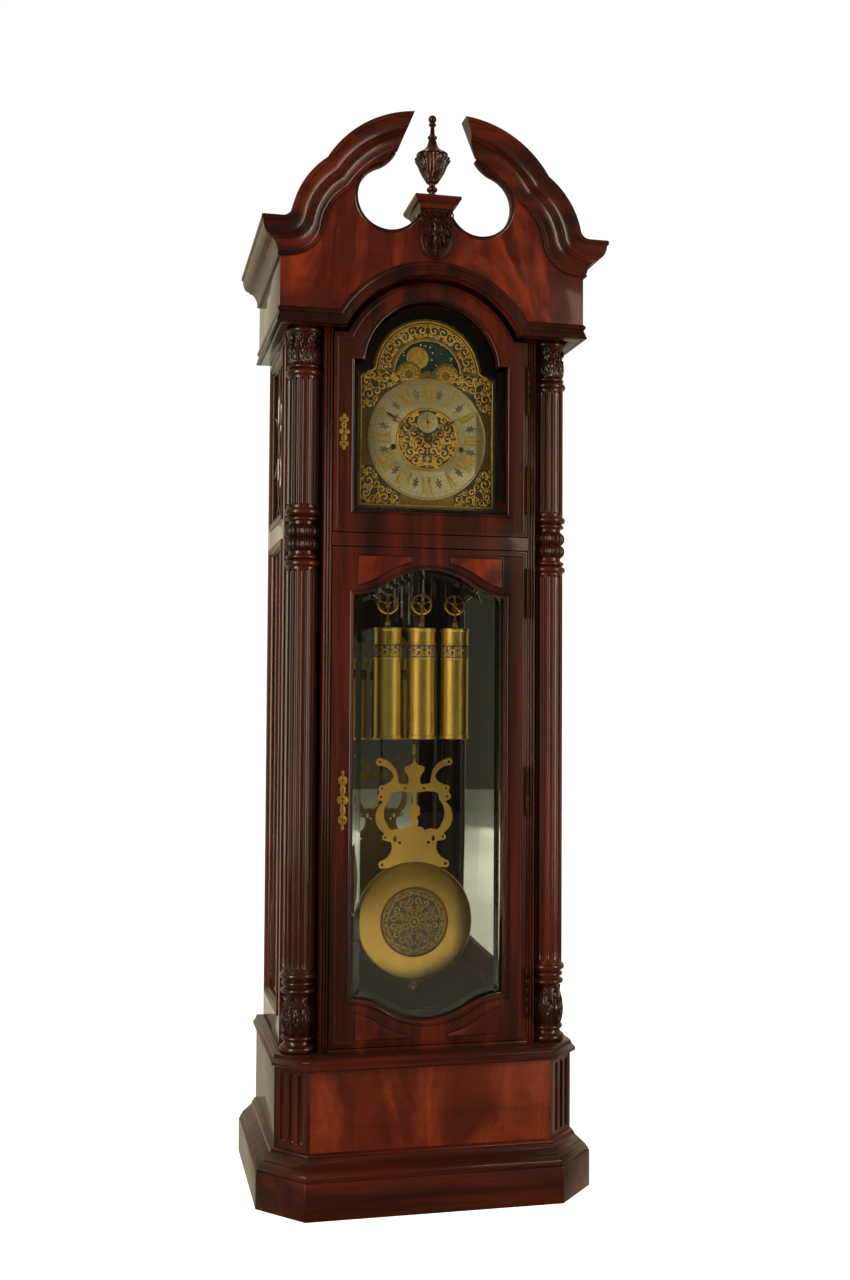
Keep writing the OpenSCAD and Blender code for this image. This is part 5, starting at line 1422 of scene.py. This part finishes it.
def ribbon(path, widths, y0, y1):
    """A flat blade with bevelled faces along a path in the plane of the dial."""
    p = np.array(path, float)
    n = normals(p, False)
    w = np.array(widths)[:, None] / 2
    left, right = p - n * w, p + n * w
    mid = (y0 + y1) / 2
    return grid([[(l[0], mid, l[1]), (c[0], y0, c[1]), (r[0], mid, r[1]), (c[0], y1, c[1])]
                 for l, c, r in zip(left, p, right)])


def serpentine(angle, length, loops, y, swell):
    """A pierced hand of waving strands that cross and end in a point."""
    parts = []
    start, end = 8, 0.74 * length
    t = np.linspace(0, 1, 50)
    for s in (-1, 1):
        wave = s * (swell * (1 - 0.45 * t)) * np.abs(np.sin(math.pi * loops * t)) ** 0.8
        parts.append(ribbon(np.stack([wave, start + (end - start) * t], 1), 2.4 - 0.7 * t, y, y + 1.1))
    tip = np.linspace(0, 1, 14)
    widths = 0.5 + 4.6 * np.sin(math.pi * np.minimum(tip * 1.15 + 0.08, 1)) ** 0.9 * (1 - 0.6 * tip)
    parts.append(ribbon(np.stack([0 * tip, end - 3 + (length - end + 3) * tip], 1), widths, y, y + 1.1))
    for z in (start + (end - start) / loops, end):
        for s in (-1, 1):
            turned_to = math.pi / 2 * (1 + s) + s * 0.6
            parts.append(volute((s * 4.4, y + 0.55, z - 3.5), 3.4, 1.1, turned_to, -s, 0.8, 0.7, n=16))
    parts.append(disc_part((0, 0), 8.2, y - 0.1, y + 1.3, 3.1))
    return on_dial(parts, angle)


def disc_part(at, r, y0, y1, bore=0.0, n=48, edge=0.3):
    """A round plate with softened edges and an optional bore."""
    inner = max(bore, 0.02)
    profile = [(inner, y1), (r - edge, y1), (r, y1 - edge), (r, y0 + edge), (r - edge, y0), (inner, y0)]
    return spun(profile, at, n)


def build_hands():
    """Three hands, each with the arbor and wheel that turn with it."""
    minute, hour, second = extent("minute_hand"), extent("hour_hand"), extent("seconds_hand")
    collet_y, back = minute[0][1], minute[1][1]
    works = [disc_part(DIAL_AT, 4.4, collet_y, collet_y + 2),
             disc_part(DIAL_AT, 2.5, collet_y + 1, back, n=24)]
    works += gear(DIAL_AT, CENTRE_WHEEL_R, back - 10.5, back - 8.0, CENTRE_TEETH)
    piece("centre_arbor_works", works, WORKS, "centre_arbor")
    blade = serpentine(MINUTE_ANGLE, MINUTE_LENGTH, 4, collet_y + 2, 5.2)
    piece("minute_blade", blade, BLACK, "centre_arbor", ["minute_hand"])
    blade = serpentine(HOUR_ANGLE, HOUR_LENGTH, 2, hour[0][1], 7.0)
    piece("hour_blade", blade, BLACK, "hour_pipe", ["hour_hand"])
    pipe = [disc_part(DIAL_AT, 5.2, hour[0][1] + 1.2, hour[1][1], 2.6, 32)]
    wheel_y = hour[1][1] - 7.5
    pipe += gear(DIAL_AT, HOUR_WHEEL_R, wheel_y, wheel_y + 2, HOUR_TEETH, bore=3)
    piece("hour_pipe_works", pipe, WORKS, "hour_pipe")
    z, y = SECONDS_AT[1], second[0][1]
    path = [(0, z + h) for h in (-9, -4, 0, 10, 19)]
    blade = [ribbon(path, [2.6, 1.2, 1.8, 1.1, 0.3], y, y + 0.8),
             disc_part(SECONDS_AT, 2.6, y - 0.1, y + 0.9, n=24)]
    piece("seconds_blade", blade, BLACK, "escape_arbor", ["seconds_hand"])
    wheel_y = second[1][1] - 20.5
    works = [disc_part(SECONDS_AT, 1.0, y + 0.8, second[1][1], n=16)]
    works += gear(SECONDS_AT, ESCAPE_WHEEL_R, wheel_y, wheel_y + 2, ESCAPE_TEETH, 1.6)
    piece("escape_wheel", works, WORKS, "escape_arbor")


def gear(at, r, y0, y1, teeth, depth=1.2, bore=0.0, spokes=5):
    """A crossed-out wheel with teeth, as a rim, arms and a hub."""
    outer = []
    for k in range(teeth):
        for share, d in ((0.0, depth), (0.22, depth), (0.42, 0), (0.72, 0), (0.95, depth)):
            a = TAU * (k + share) / teeth
            outer.append((at[0] + (r - d) * math.cos(a), at[1] + (r - d) * math.sin(a)))
    inner = arc(at, r - depth - 0.14 * r, 0, 354, 59)
    parts = [plate([outer, inner], y0, y1, 0.1), disc_part(at, 0.26 * r, y0 - 0.4, y1 + 0.4, bore, 32)]
    for k in range(spokes):
        a = TAU * k / spokes + 0.3
        p = (at[0] + 0.2 * r * math.cos(a), at[1] + 0.2 * r * math.sin(a))
        q = (at[0] + 0.86 * r * math.cos(a), at[1] + 0.86 * r * math.sin(a))
        parts.append(bar(p, q, 0.11 * r, y0 + 0.1, y1 - 0.1))
    return parts


# ---- movement ----

GREAT_WHEEL_R, GREAT_TEETH = 33, 72
DRUM_HALF, FLANGE_R, FLANGE_T = 11, 23, 1.5
CABLE_TURNS = 12


def build_movement():
    """Frame, chime rods, anchor, hinges and the winding drums."""
    softened("movement_frame", WORKS, 0.4)
    softened("chime_rods", STEEL, 0.2)
    softened("anchor_crutch", STEEL, 0.3)
    for node in ("case_hinges", "upper_door_hinges", "lower_door_hinges"):
        softened(node, BRONZE, 0.25)
    for name in WEIGHTS:
        build_drum(name)


def build_drum(name):
    """Winding drum with cable turns, flanges, toothed great wheel and squared arbor."""
    low, high = extent("drum_" + name)
    x, y, z = middle((low, high), 0), WEIGHT_Y, middle((low, high), 2)
    wheel = high[1] - 30.5
    grooves = []
    for k in range(CABLE_TURNS):
        c = y - 10 + 20 * k / (CABLE_TURNS - 1)
        grooves += [(18.5 + 0.75 * math.cos(t), c + 0.85 * math.sin(t)) for t in np.linspace(-1.5, 1.5, 5)]
    profile = [(18.0, y - DRUM_HALF)] + grooves + [(18.0, y + DRUM_HALF)]
    parts = [spun(profile, (x, z), 56, wrap=False)]
    for start in (y - DRUM_HALF - FLANGE_T, y + DRUM_HALF):
        parts.append(disc_part((x, z), FLANGE_R, start, start + FLANGE_T))
    parts += gear((x, z), GREAT_WHEEL_R, wheel, wheel + 3, GREAT_TEETH, 1.4)
    parts.append(disc_part((x, z), 3, low[1] + 9, high[1], n=24))
    square = [(-2, -2), (2, -2), (2, 2), (-2, 2)]
    parts.append(plate([[(x + a, z + b) for a, b in square]], low[1], low[1] + 9.5, 0.2))
    piece("drum_%s_turned" % name, parts, WORKS, "drum_" + name, ["drum_" + name])


# ---- weights, pulleys and cables ----

def twisted(path, strands=3, radius=CABLE_R, turns_per_mm=0.11):
    """A cable of round wires laid round each other along a path."""
    p = np.array(path, float)
    step = np.gradient(p, axis=0)
    step /= np.linalg.norm(step, axis=1)[:, None]
    side = np.cross(step, np.array([0, 1.0, 0]))
    side /= np.linalg.norm(side, axis=1)[:, None]
    up = np.cross(side, step)
    run = np.concatenate([[0], np.cumsum(np.linalg.norm(np.diff(p, axis=0), axis=1))])
    parts = []
    for k in range(strands):
        a = TAU * (run * turns_per_mm + k / strands)
        line = p + 0.46 * radius * (np.cos(a)[:, None] * side + np.sin(a)[:, None] * up)
        parts.append(tube(line, 0.54 * radius, 5))
    return parts


def build_weight(name):
    """Brass weight with an ornamental band and a stirrup, then its pulley and cable."""
    low, high = WEIGHTS[name]
    body = "weight_" + name
    x, r = middle(WEIGHTS[name], 0), (high[0] - low[0]) / 2
    z0 = low[2]
    pulley_z = middle(PULLEYS[name], 2)
    z1 = pulley_z - 48
    lip = [(0.6, 0.6), (0, 1.4), (0, 6), (0.5, 7.5), (1.4, 8.2)]
    band_edges = [(1.4, 64), (0.5, 63.4), (0, 62), (0.2, 60.5), (1.1, 60), (1.1, 34.5), (0.2, 34), (0, 32.5),
                  (0.5, 31), (1.4, 30.4)]
    profile = [(0.1, z0), (r - 6, z0), (r - 4, z0 + 0.6)] + [(r - d, z0 + h) for d, h in lip]
    profile += [(r - d, z1 - h) for d, h in band_edges + lip[::-1]]
    profile += [(r - 4, z1), (8, z1 + 0.8), (6, z1 + 3), (3.2, z1 + 4), (3, z1 + 14), (0.1, z1 + 14)]
    body_part = moved(lathe(profile, 96), (x, WEIGHT_Y, 0))
    nut_profile = [(0.1, 3.6), (5, 3.6), (5.4, 4.6), (5.4, 7), (4.8, 8), (0.1, 8)]
    nut = moved(lathe([(d, z1 + h) for d, h in nut_profile], 6), (x, WEIGHT_Y, 0))
    piece(body + "_shell", [body_part, nut], DRAWN, body, [body], smooth=30)

    band = []
    rng = random.Random(3)
    repeat = TAU * r / 8

    def inside(u, z):
        return 0.3 < u < repeat / 2 and z1 - 59 < z < z1 - 35.5
    cell = scrollwork(inside, (0, z1 - 60, repeat / 2, z1 - 35), 0, rng, (5.5, 4, 2.8, 2), 1.0, 0.5, 300)
    for k in range(8):
        for hand in (1, -1):
            for v, f in cell:
                a = (v[:, 0] * hand + k * repeat) / r - math.pi / 2
                rr = r - 0.9 - v[:, 1] * 0.6
                band.append((np.stack([x + rr * np.cos(a), WEIGHT_Y + rr * np.sin(a), v[:, 2]], 1),
                             f if hand > 0 else wound(f)))
    piece(body + "_band", band, GILT, body, smooth=60)
    # Dark ring under the band's scrolls: painted shade between them.
    ground = lathe([(r - 1.2, z1 - 59.6), (r - 0.8, z1 - 59.4), (r - 0.8, z1 - 35), (r - 1.2, z1 - 34.8)], 72)
    piece(body + "_band_painted_shade", [moved(ground, (x, WEIGHT_Y, 0))], SHADE, body)

    hook = []
    for y in (-4.6, 4.6):
        hook.append(plate([[(x - 3, z1 + 10), (x + 3, z1 + 10), (x + 1.5, z1 + 18), (x + 1.3, pulley_z)]
                           + arc((x, pulley_z), 3.0, 0, 180, 12)
                           + [(x - 1.3, pulley_z), (x - 1.5, z1 + 18)]],
                          WEIGHT_Y + y - 0.9, WEIGHT_Y + y + 0.9, 0.3))
    hook.append(plate([[(x - 4.6, z1 + 10), (x + 4.6, z1 + 10), (x + 4.6, z1 + 14), (x - 4.6, z1 + 14)]],
                      WEIGHT_Y - 5.5, WEIGHT_Y + 5.5, 0.4))
    hook.append(disc_part((x, pulley_z), 1.5, WEIGHT_Y - 6, WEIGHT_Y + 6, n=20))
    hook += [disc_part((x, pulley_z), 2.6, WEIGHT_Y + y, WEIGHT_Y + y + 0.8, n=20) for y in (-6.2, 5.4)]
    piece(body + "_stirrup", hook, POLISHED, body)
    build_pulley(name, x, pulley_z)
    build_cable(name, x, pulley_z)


def build_pulley(name, x, z):
    """Grooved wheel with five waisted spokes and a hub."""
    groove = DRUM_R
    outer = [(groove - 3, 2.1), (groove + 0.8, 2.4), (groove + 1.6, 1.9), (groove + 1.3, 1.3)]
    outer += [(groove + 0.4 - 1.2 * math.cos(t), 1.25 * math.sin(t))
              for t in np.linspace(math.pi / 2, -math.pi / 2, 7)]
    outer += [(groove + 1.3, -1.3), (groove + 1.6, -1.9), (groove + 0.8, -2.4), (groove - 3, -2.1)]
    parts = [spun([(r, WEIGHT_Y + y) for r, y in outer], (x, z), 72),
             disc_part((x, z), 4.6, WEIGHT_Y - 2.5, WEIGHT_Y + 2.5, 1.6, 32)]
    for k in range(5):
        a = TAU * k / 5 + math.radians(18)
        line = [(x + q * math.cos(a), z + q * math.sin(a)) for q in np.linspace(3.8, groove - 2.4, 7)]
        parts.append(ribbon(line, [4.2, 3.0, 2.2, 2.0, 2.2, 3.0, 4.4], WEIGHT_Y - 1.1, WEIGHT_Y + 1.1))
    piece("pulley_%s_wheel" % name, parts, POLISHED, "pulley_" + name, ["pulley_" + name])


def build_cable(name, x, z):
    """Two runs that stretch between the movement and the pulley, and the half turn under it."""
    top = STRANDS[name][1][2]
    body = "weight_" + name
    runs = []
    for s in (-1, 1):
        path = [(x + s * DRUM_R, WEIGHT_Y, h) for h in np.arange(z, top + 0.1, 1.5)]
        runs += twisted(path)
    mesh_piece = piece("cable_%s_runs" % name, runs, STEEL, None, ["strands_" + name], smooth=60)
    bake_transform(mesh_piece)
    loop = [(x + (DRUM_R + 0.05) * math.cos(t), WEIGHT_Y, z + (DRUM_R + 0.05) * math.sin(t))
            for t in np.linspace(math.pi, TAU, 44)]
    piece("cable_%s_loop" % name, twisted(loop), STEEL, body, smooth=60)


# ---- pendulum ----

def build_pendulum():
    """Rod and lyre, then the disc. z is where the lyre meets the disc."""
    softened("pendulum_rod", STEEL, 0.4)
    z = DISC_Z + DISC_R - 22
    y = LYRE[0][1]
    right = [(56, z + 9)] + arc((66, z + 16), 8, -120, 75, 16) + bow((66, z + 25), (46, z + 52), -5, 12)
    right += [(48, z + 62)] + arc((60, z + 71), 6.5, -90, 80, 14) + bow((62, z + 79), (65, z + 143), 17, 24)
    right += arc((70, z + 153), 7, -60, 60, 14) + arc((67, z + 170), 7, -40, 110, 16)
    right += bow((57, z + 180), (43, z + 196), -3, 8) + bow((43, z + 196), (68, z + 216), -4, 10)
    right += arc((72, z + 224), 8, -100, 110, 20) + bow((64, z + 229), (36, z + 200), 5, 10)
    right += [(33, z + 180), (14, z + 178)] + bow((14, z + 178), (20, z + 204), -5, 8)
    right += arc((15, z + 210), 6, -40, 100, 12) + bow((12, z + 216), (1, z + 231), -3, 8)
    hole = [(8, z + 92)] + bow((8, z + 92), (22, z + 84), -3, 6)
    hole += bow((22, z + 84), (44, z + 86), -3, 6)
    hole += bow((44, z + 86), (56, z + 96), 3, 6)
    hole += bow((56, z + 96), (53, z + 146), 9, 16) + [(50, z + 160)]
    hole += bow((50, z + 160), (12, z + 162), 3, 8)
    holes = [both_halves(hole)]
    rivets = ((30, 60, 3), (66, 16, 3), (60, 71, 2.4), (69, 153, 2.4), (67, 170, 2.4), (72, 224, 3),
              (20, 170, 2.6))
    for s in (-1, 1):
        holes += [arc((s * px, z + pz), r, 0, 345, 23) for px, pz, r in rivets]
        holes.append([(s * (40 + 3.4 * math.cos(t)), z + 68 + 6 * math.sin(t))
                      for t in np.arange(0, TAU, 0.35)])
    parts = [plate([both_halves(right)] + holes, y, y + 2, 0.3)]
    spine = [(3, z + 90)] + bow((3, z + 90), (4, z + 112), 5, 8) + bow((4, z + 112), (11, z + 124), 4, 6)
    spine += bow((11, z + 124), (4, z + 136), 4, 6) + bow((4, z + 136), (6, z + 164), -2, 5)
    parts.append(plate([both_halves(spine)], y, y + 2, 0.3))
    knot = arc((0, z + 171), 11, 0, 350, 35)
    parts.append(plate([knot, arc((0, z + 171), 3, 0, 345, 23)], y - 0.4, y + 1.6, 0.4))
    piece("lyre_plate", parts, LEAF, "pendulum", ["pendulum_lyre"], smooth=8)
    build_disc()


def build_disc():
    """Dished disc with a pierced roundel, and the tip below it."""
    t = DISC[1][1] - PENDULUM_Y
    half = [(71, t - 0.2), (73, t - 0.2), (DISC_R - 10, t - 2.2), (DISC_R - 5, t - 3.4)]
    half += [(DISC_R - 2, t - 5.2), (DISC_R - 0.4, t - 7.6), (DISC_R, 0)]
    back = half + [(r, -h) for r, h in reversed(half[:-1])] + [(40, -t + 0.1), (0.2, -t)]
    profile = [(0.2, t - 3.6), (69.4, t - 3.6), (69.6, t - 0.6), (70.2, t)] + back
    turned = spun([(r, PENDULUM_Y - h) for r, h in profile], DISC_AT, 160, wrap=False)
    piece("disc_shell", [turned], SATIN, "pendulum", ["pendulum_disc"], smooth=24)
    y = PENDULUM_Y - t
    ground = disc_part(DISC_AT, 69.2, y + 3.0, y + 3.6, n=96)
    piece("disc_roundel_ground", [ground], INK, "pendulum")
    parts = sector_scrolls(DISC_AT, 24, 64, 8, y + 1.8, 5, 1.3, (8, 6, 4.4, 3.2, 2.4), 0.6)
    parts += sector_scrolls(DISC_AT, 4, 22, 6, y + 1.8, 8, 1.4, (6, 4.5, 3.2, 2.2), 0.6)
    piece("disc_copper_ring", [circle_rim(DISC_AT, 71.5, y + 0.8, 3.2, 0.8)], COPPER, "pendulum")
    turned = [(0.1, -24.2), (1.2, -23.6), (3.4, -19.6), (8.2, -18.3), (9, -16), (9, -8), (8.2, -5.8)]
    turned += [(4, -4.4), (0.1, -4.4)]
    piece("disc_tip", [moved(lathe(turned, 40), (0, PENDULUM_Y, DISC_Z - DISC_R))], POLISHED, "pendulum")
    parts += [circle_rim(DISC_AT, 66, y + 2.2, 2.2, 1.2),
              circle_rim(DISC_AT, 24.4, y + 2.2, 1.8, 1.0, 64), disc_part(DISC_AT, 4, y + 1, y + 3, n=32)]
    parts = [(np.stack([v[:, 0], np.maximum(v[:, 1], y + 0.02), v[:, 2]], 1), f) for v, f in parts]
    piece("disc_roundel_scrolls", parts, GILT, "pendulum", smooth=60)


# ---- studio ----

CAMERA_AT = (-610.2, -2817.2, 967.4)
YAW, PITCH, ROLL = 12.599, 2.217, 0.3465
LENS = 39.62
WARM_LIGHT = (1.0, 0.88, 0.68)
WARM_SKY = (1.0, 0.91, 0.62, 1)


def build_camera():
    """The view: turned right by YAW, tilted up by PITCH and leaning by ROLL."""
    yaw, pitch, roll = (math.radians(a) for a in (YAW, PITCH, ROLL))
    right = Vector((math.cos(yaw), -math.sin(yaw), 0))
    ahead = Vector((math.sin(yaw) * math.cos(pitch), math.cos(yaw) * math.cos(pitch), math.sin(pitch)))
    up = Vector((-math.sin(pitch) * math.sin(yaw), -math.sin(pitch) * math.cos(yaw), math.cos(pitch)))
    across = math.cos(roll) * right + math.sin(roll) * up
    over = -math.sin(roll) * right + math.cos(roll) * up
    data = bpy.data.cameras.new("camera")
    data.lens, data.sensor_width, data.sensor_fit = LENS, 36, "AUTO"
    camera = show(bpy.data.objects.new("camera", data))
    matrix = Matrix((across, over, -ahead)).transposed().to_4x4()
    matrix.translation = Vector(CAMERA_AT) * MM
    camera.matrix_world = matrix
    bpy.context.scene.camera = camera


def area_light(name, at, aim, size, power, mirrored=True):
    """A soft warm lamp in metres, kept out of what is seen through glass."""
    data = bpy.data.lights.new(name, "AREA")
    data.shape, data.size, data.size_y, data.energy = "RECTANGLE", size[0], size[1], power
    data.color = WARM_LIGHT
    light = show(bpy.data.objects.new(name, data))
    light.location = at
    light.rotation_euler = (Vector(aim) - Vector(at)).to_track_quat("-Z", "Y").to_euler()
    light.visible_glossy = mirrored
    light.visible_transmission = False


def build_studio():
    """A white backdrop with warm light from the sides, and a pale floor."""
    world = bpy.data.worlds.new("studio")
    world.use_nodes = True
    bpy.context.scene.world = world
    world.node_tree.nodes.clear()
    sky = Nodes(world.node_tree)
    split = sky.node("ShaderNodeSeparateXYZ", Vector=sky.node("ShaderNodeTexCoord").outputs["Generated"])
    strength = sky.node("ShaderNodeMapRange", Value=split.outputs["Y"], From_Min=-0.1, From_Max=0.75,
                        To_Min=0.05, To_Max=0.6).outputs[0]
    lit = sky.node("ShaderNodeBackground", Color=WARM_SKY, Strength=strength).outputs[0]
    seen = sky.node("ShaderNodeBackground", Color=(1, 1, 1, 1), Strength=1.05).outputs[0]
    direct = sky.math("LESS_THAN", sky.node("ShaderNodeLightPath").outputs["Ray Depth"], 1.5)
    sky.node("ShaderNodeOutputWorld", Surface=sky.shaders(direct, lit, seen))

    area_light("key_left", (-2.9, -2.4, 1.6), (0, 0, 1.1), (1.6, 2.8), 74)
    area_light("fill_right", (2.7, -2.6, 1.5), (0, 0, 1.0), (1.4, 2.8), 40)
    area_light("top_front", (0.2, -2.4, 3.6), (0, -0.1, 1.4), (2.4, 1.0), 36, mirrored=False)
    area_light("front_low", (-0.9, -3.4, 0.5), (0, 0, 0.5), (1.6, 0.7), 18, mirrored=False)
    area_light("strip_left", (-2.0, -1.4, 1.3), (0, 0, 1.1), (0.10, 2.4), 26)
    area_light("strip_right", (2.1, -1.7, 1.3), (0, 0, 1.1), (0.08, 2.4), 22)

    mesh = bpy.data.meshes.new("floor")
    reach, steps, below = 9.0, 24, 0.0002
    edge = [(x, y, -below) for x, y in arc((0, 0), reach, 0, 360, steps)[:-1]]
    mesh.from_pydata(edge, [], [tuple(range(steps))])
    m = Finish("pale_floor", "floor", Roughness=0.6)
    m.link(m.ramp(m.noise(m.mapped(), 2.0), [(0.2, "#f4f3f1"), (0.8, "#fafaf9")]), "Base Color")
    m.shader.inputs["Emission Color"].default_value = (1, 1, 1, 1)
    ray = m.node("ShaderNodeLightPath").outputs["Is Camera Ray"]
    m.link(m.math("MULTIPLY", ray, 0.82), "Emission Strength")
    mesh.materials.append(m.material)
    floor = show(bpy.data.objects.new("floor", mesh))
    floor.visible_glossy = False
    bpy.context.scene.view_settings.view_transform = "Standard"


# ---- all together ----

build_base()
build_case()
build_columns()
build_crown()
build_frieze()
build_hood_moulding()
build_keystone()
build_finial()
build_upper_door()
build_lower_door()
build_dial()
build_hands()
build_movement()
for weight_name in WEIGHTS:
    build_weight(weight_name)
build_pendulum()
build_camera()
build_studio()
